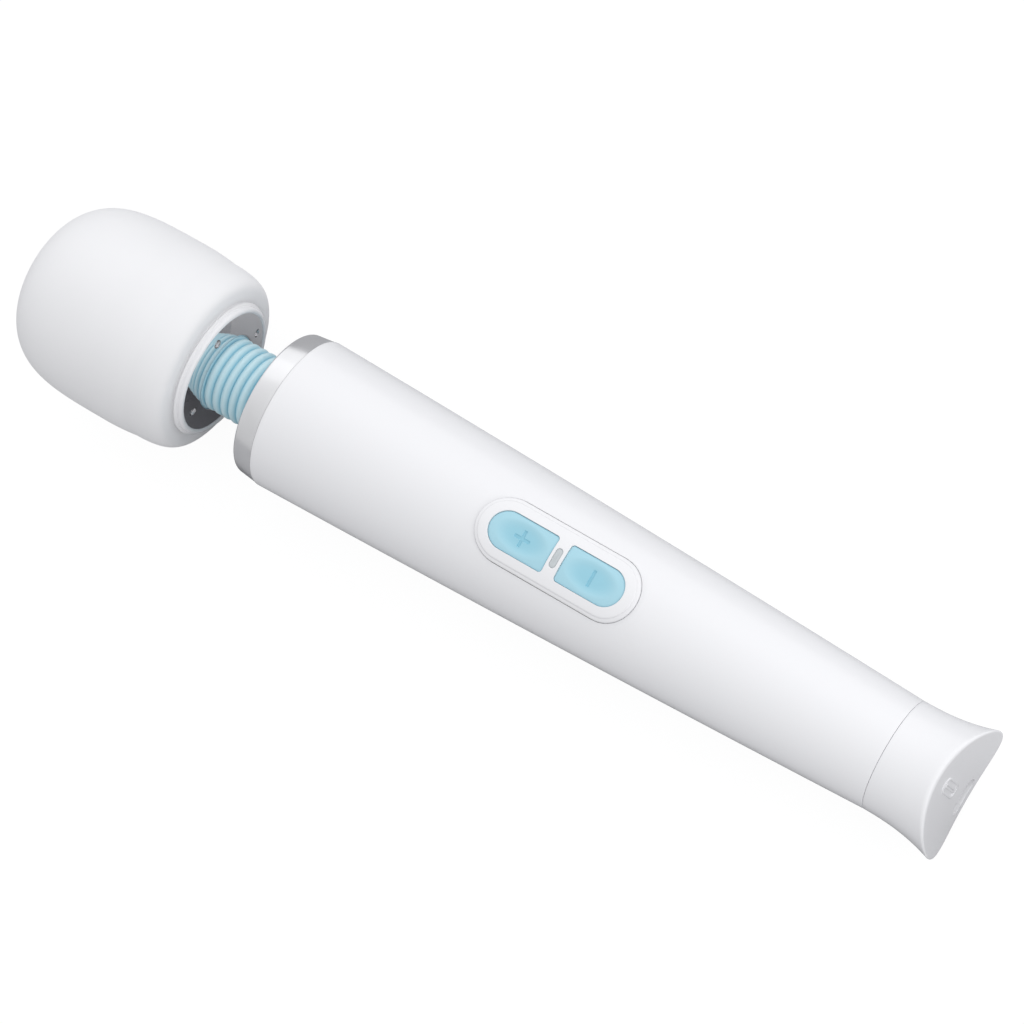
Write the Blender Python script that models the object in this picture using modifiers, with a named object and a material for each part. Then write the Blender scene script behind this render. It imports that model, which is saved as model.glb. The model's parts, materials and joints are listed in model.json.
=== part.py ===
"""Handheld wand massager: a soft round head on a flexible ribbed neck, and a tapered handle with two buttons.

All sizes below are in millimetres. MM turns them into Blender's metres where an object is made.
Stations along the wand are measured on its own axis: 0 is the front edge of the handle's metal
collar, positive stations are towards the head and negative ones towards the tail. The buttons face
the wand's own +Z. The whole wand hangs under one empty, which lays it on its back on the plane
z = 0, touching at the head and at the tail's lower rim.
"""

from math import atan, cos, pi, radians, sin

import bmesh
import bpy
from mathutils import Vector

MM = 0.001
GAP = 0.3

# Number of flat sides of turned pieces.
SIDES_LARGE = 36
SIDES_MEDIUM = 20
SIDES_SMALL = 12
SIDES_TINY = 8
SIDES_PANEL = 72
SIDES_SCOOP = 96

# Head: a superellipse nose, a slight taper and a tight rear shoulder.
HEAD_TIP = 86.8
NOSE_START = 46.3
HEAD_RADIUS = 30.46
SHOULDER_START = 35.1
SHOULDER_RADIUS = 29.65
HEAD_REAR = 23.5
HEAD_REAR_RADIUS = 22.2
NOSE_POWERS = (3.94, 3.12)
SHOULDER_POWERS = (2.12, 4.82)
COVER_WALL = 3.0
HOUSING_WALL = 2.0
HOUSING_SPLIT = 46.0

# Rear plate of the head, its bezel and its screws.
PLATE_REAR = 20.5
PLATE_THICKNESS = 1.9
PLATE_SLOPE = 0.176
PLATE_RADIUS = 19.3
PLATE_HOLE_RADIUS = 12.5
BEZEL_REAR = 21.2
BEZEL_FRONT = 27.0
BEZEL_RADIUS = 20.6
BEZEL_BORE = 19.6
BEZEL_EDGE = 0.6
LEDGE_BORE = 17.9
LEDGE_SPAN = (22.7, 23.9)
SCREW_CIRCLE = 16.1
SCREW_ANGLES = (-20, 70, 160, 250)
SCREW_HOLE_RADIUS = 1.2
SCREW_SHANK_RADIUS = 0.9
SCREW_HEAD_RADIUS = 1.5
SCREW_HEAD_HEIGHT = 0.9
SCREW_TIP = 29.5

# Motor, on the head's axis.
MOTOR_RADIUS = 17.0
MOTOR_WALL = 1.2
MOTOR_FRONT = 64.0
MOTOR_REAR = 34.3
BUSHING_RADIUS = 4.0
BUSHING_BORE = 1.7
SHAFT_RADIUS = 1.6
SHAFT_SPAN = (75.5, 32.0)
WEIGHT_SPAN = (74.5, 67.0)
WEIGHT_RADIUS = 14.5
WEIGHT_TOP = 4.5

# Flexible neck.
NECK_PIVOT = 10.25
BOOT_CREST = 11.8
BOOT_GROOVE = 11.0
BOOT_BORE = 9.6
BOOT_BAND = 12.0
BOOT_FRONT_FLANGE = (23.9, 22.7, 14.0)
BOOT_REAR_FLANGE = (-2.9, -4.5, 15.0)
RIB_TOP = 1.6
RIB_PITCH = 2.94
RIB_COUNT = 7
FIRST_RIB = 18.4
SPRING_RADIUS = 7.4
SPRING_WIRE = 0.8
SPRING_TURNS = 6
SPRING_SPAN = (-3.7, 23.0)
HUB_RADIUS = 6.2
WIRE_BORE = 3.0

# Handle: a tapered sleeve with a slightly bowed side, behind a metal collar.
COLLAR_RADIUS = 23.0
COLLAR_LENGTH = 7.0
COLLAR_HOLE = 12.6
COLLAR_WALL = 2.6
SPIGOT_BORE = 19.5
SLEEVE_FRONT = -7.3
SLEEVE_REAR = -212.0
SLEEVE_FRONT_RADIUS = 24.15
SLEEVE_REAR_RADIUS = 17.15
SLEEVE_BOW = 0.49
SLEEVE_WALL = 2.2

# Tail cap: the sleeve's radius flares to a rim, and the end is scooped by a leaning cylinder.
TAIL_FRONT = -212.3
TAIL_END = -236.0
FLARE_LENGTH = 23.4
FLARE_RISE = 3.6
FLARE_POWER = 2.4
SCOOP_RADIUS = 56.3
SCOOP_STATION = -231.0
SCOOP_LEAN = 5.5
TAIL_SPIGOT_FRONT = -203.0
TAIL_SPIGOT_RADIUS = 14.5
CAVITY_RADIUS = 12.9
CAVITY_END = -224.0

# Charging inlet in the scoop: a stadium-shaped slot with a socket at its bottom.
INLET_HEIGHT = -13.0
INLET_SIZE = (11.2, 4.6)
INLET_FRONT = -217.0
SOCKET_SIZE = (10.4, 4.0)
SOCKET_FACE = -227.0
SOCKET_REAR = -218.0
JACK_RADIUS = 1.2
JACK_DEPTH = 6.5

# Where the wand touches the plane it lies on, and its two ends, as stations and radii.
HEAD_CONTACT = (43.5, 30.40)
TAIL_CONTACT = (-232.8, 19.86)
ENDS = (87.05, -234.75)

# Control panel and buttons. Stations run from the head's end to the tail's end of each.
PANEL_SPAN = (-79.1, -131.9)
PANEL_HALF_WIDTH = 9.8
PANEL_PROUD = 1.2
BUTTON_HALF_WIDTH = 5.8
BUTTON_PROUD = 0.9
BUTTON_DEPTH = 4.2
BUTTON_CORNER = 1.0
PLUS_SPAN = (-83.2, -103.4)
MINUS_SPAN = (-127.5, -107.5)
PLUS_STATION = -93.3
MINUS_STATION = -117.5
LENS_STATION = -105.4
LENS_SIZE = (2.1, 6.1)
STEM_RADIUS = 2.0

# Electronics.
BOARD_LOW = (-141.5, -11.0, 9.7)
BOARD_HIGH = (-62.5, 11.0, 11.0)
BOARD_TOP = 11.0
PLUNGER_TOP = 15.8
BOARD_SCREWS = ((-66.0, -9.0), (-66.0, 9.0), (-138.0, -9.0), (-138.0, 9.0))
BOARD_HOLE_RADIUS = 1.3
BATTERY_RADIUS = 9.2
BATTERY_HEIGHT = -3.6
BATTERY_LENGTH = 65.0
BATTERY_STATIONS = {"front": -40.0, "rear": -106.5}
LEAD_RADIUS = 0.6

# Colours are linear RGB; the other two values are roughness and metallic.
FINISHES = {
    "soft_white_silicone": ((0.80, 0.80, 0.81), 0.55, 0.0),
    "gloss_white_plastic": ((0.86, 0.86, 0.87), 0.16, 0.0),
    "polished_aluminium": ((0.72, 0.72, 0.73), 0.14, 1.0),
    "blue_silicone": ((0.32, 0.62, 0.73), 0.42, 0.0),
    "grey_lens": ((0.50, 0.54, 0.55), 0.25, 0.0),
    "inner_plastic": ((0.20, 0.21, 0.22), 0.50, 0.0),
    "spring_steel": ((0.55, 0.55, 0.57), 0.30, 1.0),
    "dark_rubber": ((0.03, 0.03, 0.03), 0.80, 0.0),
    "brass": ((0.70, 0.52, 0.22), 0.30, 1.0),
    "copper_red_wire": ((0.45, 0.03, 0.02), 0.45, 0.0),
    "black_wire": ((0.02, 0.02, 0.02), 0.45, 0.0),
    "board_green": ((0.02, 0.16, 0.07), 0.45, 0.0),
    "chip_black": ((0.02, 0.02, 0.02), 0.50, 0.0),
    "battery_wrap": ((0.05, 0.12, 0.35), 0.35, 0.0),
    "ferrite_grey": ((0.09, 0.09, 0.10), 0.60, 0.0),
}


def clear_scene():
    for old in list(bpy.data.objects):
        bpy.data.objects.remove(old)


def new_collection(name):
    collection = bpy.data.collections.new(name)
    bpy.context.scene.collection.children.link(collection)
    return collection


clear_scene()
PARTS = new_collection("wand_massager")
CUTTERS = new_collection("cutters")


def finish_named(name):
    """The Principled material of that name, made on its first use."""
    material = bpy.data.materials.get(name)
    if material is None:
        colour, roughness, metallic = FINISHES[name]
        material = bpy.data.materials.new(name)
        material.use_nodes = True
        shader = material.node_tree.nodes["Principled BSDF"]
        shader.inputs["Base Color"].default_value = (*colour, 1.0)
        shader.inputs["Roughness"].default_value = roughness
        shader.inputs["Metallic"].default_value = metallic
        material.diffuse_color = (*colour, 1.0)
    return material


def new_pivot(name, station=0.0, height=0.0, parent=None):
    """An empty on a joint's axis, placed in the wand's own frame."""
    pivot = bpy.data.objects.new(name, None)
    pivot.empty_display_size = 5 * MM
    PARTS.objects.link(pivot)
    pivot.location = (station * MM, 0, height * MM)
    pivot.parent = parent
    return pivot


# ---------------------------------------------------------------- outlines


def head_outline(inset, rear, rear_radius, nose_steps, shoulder_steps):
    """Stations and radii of the head from its tip to its rear, moved inwards by inset."""
    points = []
    for i in range(nose_steps + 1):
        turn = pi / 2 * (1 - i / nose_steps)
        along = sin(turn) ** (2 / NOSE_POWERS[0])
        across = cos(turn) ** (2 / NOSE_POWERS[1])
        station = NOSE_START + (HEAD_TIP - inset - NOSE_START) * along
        points.append((station, (HEAD_RADIUS - inset) * across))
    points[0] = (HEAD_TIP - inset, 0.0)
    for share in (0.6, 1.0):
        station = NOSE_START + (SHOULDER_START - NOSE_START) * share
        drop = (HEAD_RADIUS - SHOULDER_RADIUS) * share**2
        points.append((station, HEAD_RADIUS - inset - drop))
    for i in range(1, shoulder_steps + 1):
        turn = pi / 2 * i / shoulder_steps
        along = sin(turn) ** (2 / SHOULDER_POWERS[0])
        across = max(cos(turn), 0.0) ** (2 / SHOULDER_POWERS[1])
        station = SHOULDER_START + (rear - SHOULDER_START) * along
        rise = SHOULDER_RADIUS - inset - rear_radius
        points.append((station, rear_radius + rise * across))
    return points


def sleeve_radius(station):
    """Outer radius of the handle at a station between its collar and its tail."""
    share = (SLEEVE_FRONT - station) / (SLEEVE_FRONT - SLEEVE_REAR)
    straight = SLEEVE_FRONT_RADIUS + (SLEEVE_REAR_RADIUS - SLEEVE_FRONT_RADIUS) * share
    return straight + 4 * SLEEVE_BOW * share * (1 - share)


def sleeve_stations(start, end, count):
    return [start + (end - start) * i / count for i in range(count + 1)]


def band_outline(start, end, below, above, count=3):
    """A closed ring section that follows the sleeve, from below its surface to above it."""
    stations = sleeve_stations(start, end, count)
    outer = [(s, sleeve_radius(s) + above) for s in stations]
    inner = [(s, sleeve_radius(s) - below) for s in reversed(stations)]
    return outer + inner


def stadium(first, last, half_width, steps=8):
    """Outline in plan of a slot with round ends between two stations."""
    low, high = sorted((first, last))
    points = []
    for centre, start in ((high - half_width, -pi / 2), (low + half_width, pi / 2)):
        for i in range(steps + 1):
            turn = start + pi * i / steps
            points.append((centre + half_width * cos(turn), half_width * sin(turn)))
    return points


def d_shape(round_end, flat_end, half_width, corner, steps=8):
    """Outline in plan of a button: a half circle at one end and small corners at the other."""
    way = 1 if round_end > flat_end else -1
    centre = round_end - way * half_width
    points = []
    for i in range(steps + 1):
        turn = -pi / 2 + pi * i / steps
        points.append((centre + way * half_width * cos(turn), half_width * sin(turn)))
    for side, start in ((1, pi / 2), (-1, pi)):
        for i in range(4):
            turn = start + pi / 2 * i / 3
            station = flat_end + way * (corner + corner * cos(turn))
            points.append((station, side * (half_width - corner) + corner * sin(turn)))
    return points


def smooth_route(points, per_leg=4):
    """Points on a Catmull-Rom curve through the given ones."""
    corners = [Vector(p) for p in points]
    padded = [2 * corners[0] - corners[1], *corners, 2 * corners[-1] - corners[-2]]
    route = []
    for before, start, end, after in zip(padded, padded[1:], padded[2:], padded[3:]):
        for i in range(per_leg):
            t = i / per_leg
            bend = 2 * before - 5 * start + 4 * end - after
            twist = 3 * start - before - 3 * end + after
            route.append((2 * start + (end - before) * t + bend * t**2 + twist * t**3) / 2)
    return [*route, corners[-1]]


# ---------------------------------------------------------------- makers


def place(piece, finish, pivot, location=(0, 0, 0)):
    """Gives a piece its finish and puts it under its pivot. The location is in the wand's frame."""
    piece.data.materials.append(finish_named(finish))
    piece.parent = pivot
    offset = Vector((0, 0, 0)) if pivot is wand else pivot.location
    piece.location = Vector(location) * MM - offset
    return piece


def turned(name, outline, sides, closed=True, along="X", collection=PARTS, sweep=2 * pi):
    """A ring or solid of revolution. The outline is (station, radius) and runs down its outer side."""
    mesh = bpy.data.meshes.new(name)
    profile = bmesh.new()
    start = pi / sides if sweep == 2 * pi else -sweep / 2
    corners = [
        profile.verts.new((r * MM * cos(start), r * MM * sin(start), s * MM))
        for s, r in outline
    ]
    for first, second in zip(corners, corners[1:]):
        profile.edges.new((first, second))
    if closed:
        profile.edges.new((corners[-1], corners[0]))
    profile.to_mesh(mesh)
    profile.free()
    piece = bpy.data.objects.new(name, mesh)
    collection.objects.link(piece)
    if along == "X":
        piece.rotation_euler = (0, pi / 2, 0)
    screw = piece.modifiers.new("turn", "SCREW")
    screw.axis = "Z"
    screw.angle = sweep
    screw.steps = sides
    screw.render_steps = sides
    screw.use_merge_vertices = sweep == 2 * pi
    screw.merge_threshold = 0.00002
    screw.use_smooth_shade = True
    return piece


def tube(name, points, radius):
    """A round wire or lead along a list of points, with closed ends."""
    curve = bpy.data.curves.new(name, "CURVE")
    curve.dimensions = "3D"
    curve.bevel_depth = radius * MM
    curve.bevel_resolution = 2
    curve.use_fill_caps = True
    spline = curve.splines.new("POLY")
    spline.points.add(len(points) - 1)
    for corner, point in zip(spline.points, points):
        corner.co = (*(Vector(point) * MM), 1)
    piece = bpy.data.objects.new(name, curve)
    PARTS.objects.link(piece)
    return piece


def box(name, low, high, collection=PARTS):
    """A block between two corners, with its origin at its centre."""
    size = Vector(high) - Vector(low)
    mesh = bpy.data.meshes.new(name)
    block = bmesh.new()
    bmesh.ops.create_cube(block, size=1.0)
    bmesh.ops.scale(block, vec=size * MM, verts=block.verts)
    block.to_mesh(mesh)
    block.free()
    piece = bpy.data.objects.new(name, mesh)
    collection.objects.link(piece)
    return piece


def centre_of(low, high):
    return (Vector(low) + Vector(high)) / 2


def cylinder(name, radius, length, sides, direction="Z", collection=CUTTERS):
    """A straight cylinder about its own centre, for holes and stems."""
    mesh = bpy.data.meshes.new(name)
    rod = bmesh.new()
    bmesh.ops.create_cone(
        rod, cap_ends=True, segments=sides, radius1=radius * MM, radius2=radius * MM, depth=length * MM
    )
    rod.to_mesh(mesh)
    rod.free()
    piece = bpy.data.objects.new(name, mesh)
    collection.objects.link(piece)
    if direction == "X":
        piece.rotation_euler = (0, pi / 2, 0)
    return piece


def prism(name, outline, low, high, facing="Z", collection=CUTTERS):
    """An outline made solid between two heights. Facing X stands the outline up across the wand."""
    curve = bpy.data.curves.new(name, "CURVE")
    curve.dimensions = "2D"
    curve.fill_mode = "BOTH"
    curve.extrude = (high - low) / 2 * MM
    spline = curve.splines.new("POLY")
    spline.points.add(len(outline) - 1)
    for corner, (x, y) in zip(spline.points, outline):
        corner.co = (x * MM, y * MM, 0, 1)
    spline.use_cyclic_u = True
    flat = bpy.data.objects.new(name + "_outline", curve)
    CUTTERS.objects.link(flat)
    graph = bpy.context.evaluated_depsgraph_get()
    graph.update()
    mesh = bpy.data.meshes.new_from_object(flat.evaluated_get(graph))
    bpy.data.objects.remove(flat)
    solid = bmesh.new()
    solid.from_mesh(mesh)
    bmesh.ops.remove_doubles(solid, verts=solid.verts, dist=0.000005)
    bmesh.ops.recalc_face_normals(solid, faces=solid.faces)
    solid.to_mesh(mesh)
    solid.free()
    piece = bpy.data.objects.new(name, mesh)
    collection.objects.link(piece)
    if facing == "X":
        piece.rotation_euler = (pi / 2, 0, pi / 2)
    return piece


def as_cutter(tool, location=(0, 0, 0)):
    """Hides a cutting tool and puts it in the wand's frame."""
    tool.parent = wand
    tool.location = Vector(location) * MM
    tool.hide_render = True
    tool.display_type = "WIRE"
    return tool


def combine(piece, tool, operation):
    step = piece.modifiers.new(operation.lower(), "BOOLEAN")
    step.operation = operation
    step.object = tool
    return piece


def cut(piece, *tools):
    for tool in tools:
        combine(piece, tool, "DIFFERENCE")
    return piece


# ---------------------------------------------------------------- head


def make_head_cover():
    """Soft cover that wraps the whole head and ends in a small lip round the bezel."""
    lip_bore = HEAD_REAR_RADIUS - 1.3
    lip = [(22.9, 21.9), (22.6, 21.4), (22.9, lip_bore)]
    outer = head_outline(0.0, HEAD_REAR, HEAD_REAR_RADIUS, nose_steps=8, shoulder_steps=5)
    inner = head_outline(COVER_WALL, HEAD_REAR + COVER_WALL, lip_bore, nose_steps=5, shoulder_steps=3)
    outline = outer + lip + list(reversed(inner))
    place(turned("head_cover", outline, SIDES_LARGE, closed=False), "soft_white_silicone", head_pivot)


def make_head_housing():
    """Rigid shell under the cover, in two halves that meet at HOUSING_SPLIT."""
    outer_inset = COVER_WALL + GAP
    inner_inset = outer_inset + HOUSING_WALL
    rear_face = 27.7
    rear_wall_inside = rear_face + HOUSING_WALL + 0.2
    outer = head_outline(outer_inset, rear_face, 20.3, nose_steps=5, shoulder_steps=3)
    inner = head_outline(inner_inset, rear_wall_inside, 18.3, nose_steps=5, shoulder_steps=3)
    front_edge = HOUSING_SPLIT + GAP / 2
    rear_edge = HOUSING_SPLIT - GAP / 2
    front = [p for p in outer if p[0] > front_edge] + [(front_edge, HEAD_RADIUS - outer_inset)]
    front += [(front_edge, HEAD_RADIUS - inner_inset)]
    front += [p for p in reversed(inner) if p[0] > front_edge]
    place(turned("head_housing_front", front, SIDES_MEDIUM, closed=False), "inner_plastic", head_pivot)
    bore = 6.4
    rear = [(rear_edge, HEAD_RADIUS - outer_inset)] + [p for p in outer if p[0] < rear_edge]
    rear += [(rear_face, bore), (rear_wall_inside, bore)]
    rear += [p for p in reversed(inner) if p[0] < rear_edge] + [(rear_edge, HEAD_RADIUS - inner_inset)]
    shell = place(turned("head_housing_rear", rear, SIDES_MEDIUM), "inner_plastic", head_pivot)
    cut(shell, *plate_screw_holes)


def make_bezel():
    """Rounded ring round the rear plate, with an inner ledge that the plate sits on."""
    ledge_rear, ledge_front = LEDGE_SPAN
    outline = [
        (BEZEL_FRONT, BEZEL_BORE),
        (BEZEL_FRONT, BEZEL_RADIUS),
        (BEZEL_REAR + BEZEL_EDGE, BEZEL_RADIUS),
        (BEZEL_REAR, BEZEL_RADIUS - BEZEL_EDGE / 2),
        (BEZEL_REAR, BEZEL_BORE + BEZEL_EDGE / 2),
        (BEZEL_REAR + BEZEL_EDGE, BEZEL_BORE),
        (ledge_rear, BEZEL_BORE),
        (ledge_rear, LEDGE_BORE),
        (ledge_front, LEDGE_BORE),
        (ledge_front, BEZEL_BORE),
    ]
    place(turned("head_bezel", outline, SIDES_LARGE), "gloss_white_plastic", head_pivot)


def plate_surface(radius):
    """Station of the plate's conical rear face at a radius."""
    return PLATE_REAR + PLATE_SLOPE * (radius - PLATE_HOLE_RADIUS)


def make_plate():
    """Polished, slightly conical ring, screwed through the neck coupling into the housing."""
    front = PLATE_REAR + PLATE_THICKNESS
    outline = [
        (front, PLATE_HOLE_RADIUS),
        (front, PLATE_RADIUS),
        (plate_surface(PLATE_RADIUS), PLATE_RADIUS),
        (PLATE_REAR, PLATE_HOLE_RADIUS),
    ]
    plate = place(turned("head_plate", outline, SIDES_LARGE), "polished_aluminium", head_pivot)
    cut(plate, *plate_screw_holes)


def screw_seats():
    """Height and side offset of each plate screw, by its angle from the buttons' direction."""
    return [
        (SCREW_CIRCLE * sin(radians(angle)), SCREW_CIRCLE * cos(radians(angle)))
        for angle in SCREW_ANGLES
    ]


def make_plate_screw_holes():
    holes = []
    for number, (side, height) in enumerate(screw_seats(), 1):
        hole = cylinder(f"plate_screw_hole_{number}", SCREW_HOLE_RADIUS, 20.0, SIDES_TINY, "X")
        holes.append(as_cutter(hole, (25.5, side, height)))
    return holes


def make_plate_screws():
    """Small cheese-head screws. The head stands on the plate and the shank ends in the housing."""
    seat = plate_surface(SCREW_CIRCLE - SCREW_HEAD_RADIUS) - GAP / 2
    outline = [
        (SCREW_TIP, 0.0),
        (SCREW_TIP, SCREW_SHANK_RADIUS),
        (seat, SCREW_SHANK_RADIUS),
        (seat, SCREW_HEAD_RADIUS),
        (seat - SCREW_HEAD_HEIGHT * 0.6, SCREW_HEAD_RADIUS),
        (seat - SCREW_HEAD_HEIGHT, SCREW_HEAD_RADIUS * 0.75),
        (seat - SCREW_HEAD_HEIGHT, 0.0),
    ]
    for number, (side, height) in enumerate(screw_seats(), 1):
        screw = turned(f"plate_screw_{number}", outline, SIDES_TINY, closed=False)
        place(screw, "polished_aluminium", head_pivot, (0, side, height))


def ring(start, end, inner, outer):
    """Outline of a plain ring between two stations, start being nearer the head."""
    return [(start, inner), (start, outer), (end, outer), (end, inner)]


def make_motor():
    """Can motor with a half-round weight on its shaft, held in two cradles."""
    seat = BUSHING_RADIUS + GAP
    bore = MOTOR_RADIUS - MOTOR_WALL
    can = [
        (MOTOR_FRONT, seat),
        (MOTOR_FRONT, MOTOR_RADIUS),
        (MOTOR_REAR, MOTOR_RADIUS),
        (MOTOR_REAR, bore),
        (MOTOR_FRONT - MOTOR_WALL, bore),
        (MOTOR_FRONT - MOTOR_WALL, seat),
    ]
    bell_front = MOTOR_REAR - GAP
    grip = MOTOR_RADIUS + GAP
    still = {
        "motor_can": (can, "spring_steel"),
        "motor_end_bell": (ring(bell_front, bell_front - 2.5, seat, MOTOR_RADIUS), "inner_plastic"),
        "motor_magnet": (ring(58.0, 40.0, 12.9, bore - GAP), "ferrite_grey"),
        "motor_bushing_front": (ring(65.0, 62.0, BUSHING_BORE, BUSHING_RADIUS), "brass"),
        "motor_bushing_rear": (ring(34.6, 31.8, BUSHING_BORE, BUSHING_RADIUS), "brass"),
        "motor_cradle_front": (ring(59.0, 54.0, grip, 24.4), "dark_rubber"),
        "motor_cradle_rear": (ring(42.0, 37.0, grip, 24.1), "dark_rubber"),
    }
    for name, (outline, finish) in still.items():
        place(turned(name, outline, SIDES_MEDIUM), finish, head_pivot)
    spinning = {
        "motor_rotor": (ring(57.0, 41.0, 2.0, 12.2), "ferrite_grey"),
        "commutator": (ring(39.5, 35.5, 2.0, 4.0), "brass"),
    }
    for name, (outline, finish) in spinning.items():
        place(turned(name, outline, SIDES_MEDIUM), finish, rotor_pivot)
    shaft = ring(*SHAFT_SPAN, 0.0, SHAFT_RADIUS)
    place(turned("motor_shaft", shaft, SIDES_MEDIUM, closed=False), "spring_steel", rotor_pivot)
    weight = turned("eccentric_weight", ring(*WEIGHT_SPAN, 2.0, WEIGHT_RADIUS), SIDES_MEDIUM)
    place(weight, "brass", rotor_pivot)
    low, high = (60.0, -20.0, WEIGHT_TOP), (80.0, 20.0, 30.0)
    cut(weight, as_cutter(box("weight_cutter", low, high, CUTTERS), centre_of(low, high)))


# ---------------------------------------------------------------- neck


def boot_outline():
    """Bellows wall: a flange at each end, a plain band and ribs with V grooves between them."""
    front, front_inside, front_radius = BOOT_FRONT_FLANGE
    rear_inside, rear, rear_radius = BOOT_REAR_FLANGE
    points = [(front, BOOT_BORE), (front, front_radius), (front_inside, front_radius)]
    first_groove = FIRST_RIB + RIB_PITCH / 2
    points += [(front_inside, BOOT_BAND), (first_groove + GAP, BOOT_BAND), (first_groove, BOOT_GROOVE)]
    for i in range(RIB_COUNT):
        centre = FIRST_RIB - RIB_PITCH * i
        points += [(centre + RIB_TOP / 2, BOOT_CREST), (centre - RIB_TOP / 2, BOOT_CREST)]
        points += [(centre - RIB_PITCH / 2, BOOT_GROOVE)]
    points += [(rear_inside, BOOT_GROOVE), (rear_inside, rear_radius), (rear, rear_radius)]
    points.append((rear, BOOT_BORE))
    return points


def make_neck():
    place(turned("neck_boot", boot_outline(), SIDES_MEDIUM), "blue_silicone", neck_pivot)
    start, end = SPRING_SPAN
    steps = SPRING_TURNS * 10
    coil = []
    for i in range(steps + 1):
        turn = 2 * pi * SPRING_TURNS * i / steps
        station = start + (end - start) * i / steps
        coil.append((station, SPRING_RADIUS * cos(turn), SPRING_RADIUS * sin(turn)))
    place(tube("neck_spring", coil, SPRING_WIRE), "spring_steel", neck_pivot)
    for name, side, finish in (
        ("motor_lead_red", 0.9, "copper_red_wire"),
        ("motor_lead_black", -0.9, "black_wire"),
    ):
        route = [(-62.1, side, 10.3), (-50, side, 9.4), (-40, side, 7.4), (-30, side, 3.2)]
        route += [(-22, side, 0.4), (-15, side, 0), (0, side, 0), (15, side, 0), (31.2, side, 0)]
        place(tube(name, smooth_route(route, 2), LEAD_RADIUS), finish, neck_pivot)


def make_neck_ends():
    """The coupling screwed into the head, and the anchor clamped inside the collar."""
    coupling = [
        (27.4, WIRE_BORE),
        (27.4, 19.0),
        (24.2, 19.0),
        (24.2, HUB_RADIUS),
        (21.0, HUB_RADIUS),
        (21.0, WIRE_BORE),
    ]
    piece = place(turned("neck_coupling", coupling, SIDES_MEDIUM), "inner_plastic", head_pivot)
    cut(piece, *plate_screw_holes)
    anchor = [
        (-0.5, WIRE_BORE),
        (-0.5, HUB_RADIUS),
        (-4.9, HUB_RADIUS),
        (-4.9, 19.0),
        (-8.9, 19.0),
        (-8.9, 12.0),
        (-18.0, 12.0),
        (-18.0, WIRE_BORE),
    ]
    place(turned("neck_anchor", anchor, SIDES_MEDIUM), "inner_plastic", wand)
    clamp = ring(-9.2, -12.2, 14.0, 19.1)
    place(turned("anchor_clamp_ring", clamp, SIDES_MEDIUM), "polished_aluminium", wand)


# ---------------------------------------------------------------- handle shell


def make_collar():
    """Polished collar with a rounded front edge and a spigot that enters the sleeve."""
    outline = [
        (0.0, COLLAR_HOLE),
        (0.0, COLLAR_RADIUS - 0.8),
        (-0.2, COLLAR_RADIUS - 0.3),
        (-0.7, COLLAR_RADIUS + 0.05),
        (-COLLAR_LENGTH, SLEEVE_FRONT_RADIUS),
        (-COLLAR_LENGTH, 21.4),
        (-15.0, 21.0),
        (-15.0, SPIGOT_BORE),
        (-COLLAR_WALL, SPIGOT_BORE),
        (-COLLAR_WALL, COLLAR_HOLE),
    ]
    place(turned("handle_collar", outline, SIDES_LARGE), "polished_aluminium", wand)


def panel_tool(name, extra, low=8.0, high=28.0):
    """Upright tool with the control panel's outline, grown by extra."""
    head_end, tail_end = PANEL_SPAN
    outline = stadium(head_end + extra, tail_end - extra, PANEL_HALF_WIDTH + extra)
    return as_cutter(prism(name, outline, low, high), (0, 0, (low + high) / 2))


def make_sleeve():
    """One-piece tapered sleeve with an opening for the control panel."""
    outline = band_outline(SLEEVE_FRONT, SLEEVE_REAR, SLEEVE_WALL, 0.0, count=5)
    sleeve = place(turned("handle_sleeve", outline, SIDES_LARGE), "gloss_white_plastic", wand)
    cut(sleeve, panel_tool("panel_opening", GAP))


def make_tail_cap():
    """Flared cap with a spigot, a hollow for the socket and a scooped, leaning end face."""
    outline = [
        (CAVITY_END, 0.0),
        (CAVITY_END, CAVITY_RADIUS),
        (TAIL_SPIGOT_FRONT, CAVITY_RADIUS),
        (TAIL_SPIGOT_FRONT, TAIL_SPIGOT_RADIUS),
        (TAIL_FRONT, TAIL_SPIGOT_RADIUS),
    ]
    flare_steps = 6
    for i in range(flare_steps + 1):
        station = TAIL_FRONT + (TAIL_END - TAIL_FRONT) * i / flare_steps
        share = (TAIL_FRONT - station) / FLARE_LENGTH
        outline.append((station, SLEEVE_REAR_RADIUS + FLARE_RISE * share**FLARE_POWER))
    outline.append((TAIL_END, 0.0))
    cap = place(turned("tail_cap", outline, SIDES_LARGE, closed=False), "gloss_white_plastic", wand)
    scoop = cylinder("tail_scoop", SCOOP_RADIUS, 80.0, SIDES_SCOOP)
    scoop.rotation_euler = (0, radians(SCOOP_LEAN), 0)
    centre = SCOOP_STATION - SCOOP_RADIUS / cos(radians(SCOOP_LEAN))
    cut(cap, as_cutter(scoop, (centre, 0, 0)))
    cut(cap, inlet_tool("inlet_slot", INLET_SIZE, TAIL_END - 10.0, INLET_FRONT))


def inlet_tool(name, size, low, high):
    """Stadium-shaped tool across the wand at the inlet, between two stations."""
    width, height = size
    outline = stadium(-width / 2, width / 2, height / 2)
    tool = prism(name, outline, low, high, facing="X")
    return as_cutter(tool, ((low + high) / 2, 0, INLET_HEIGHT))


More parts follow.
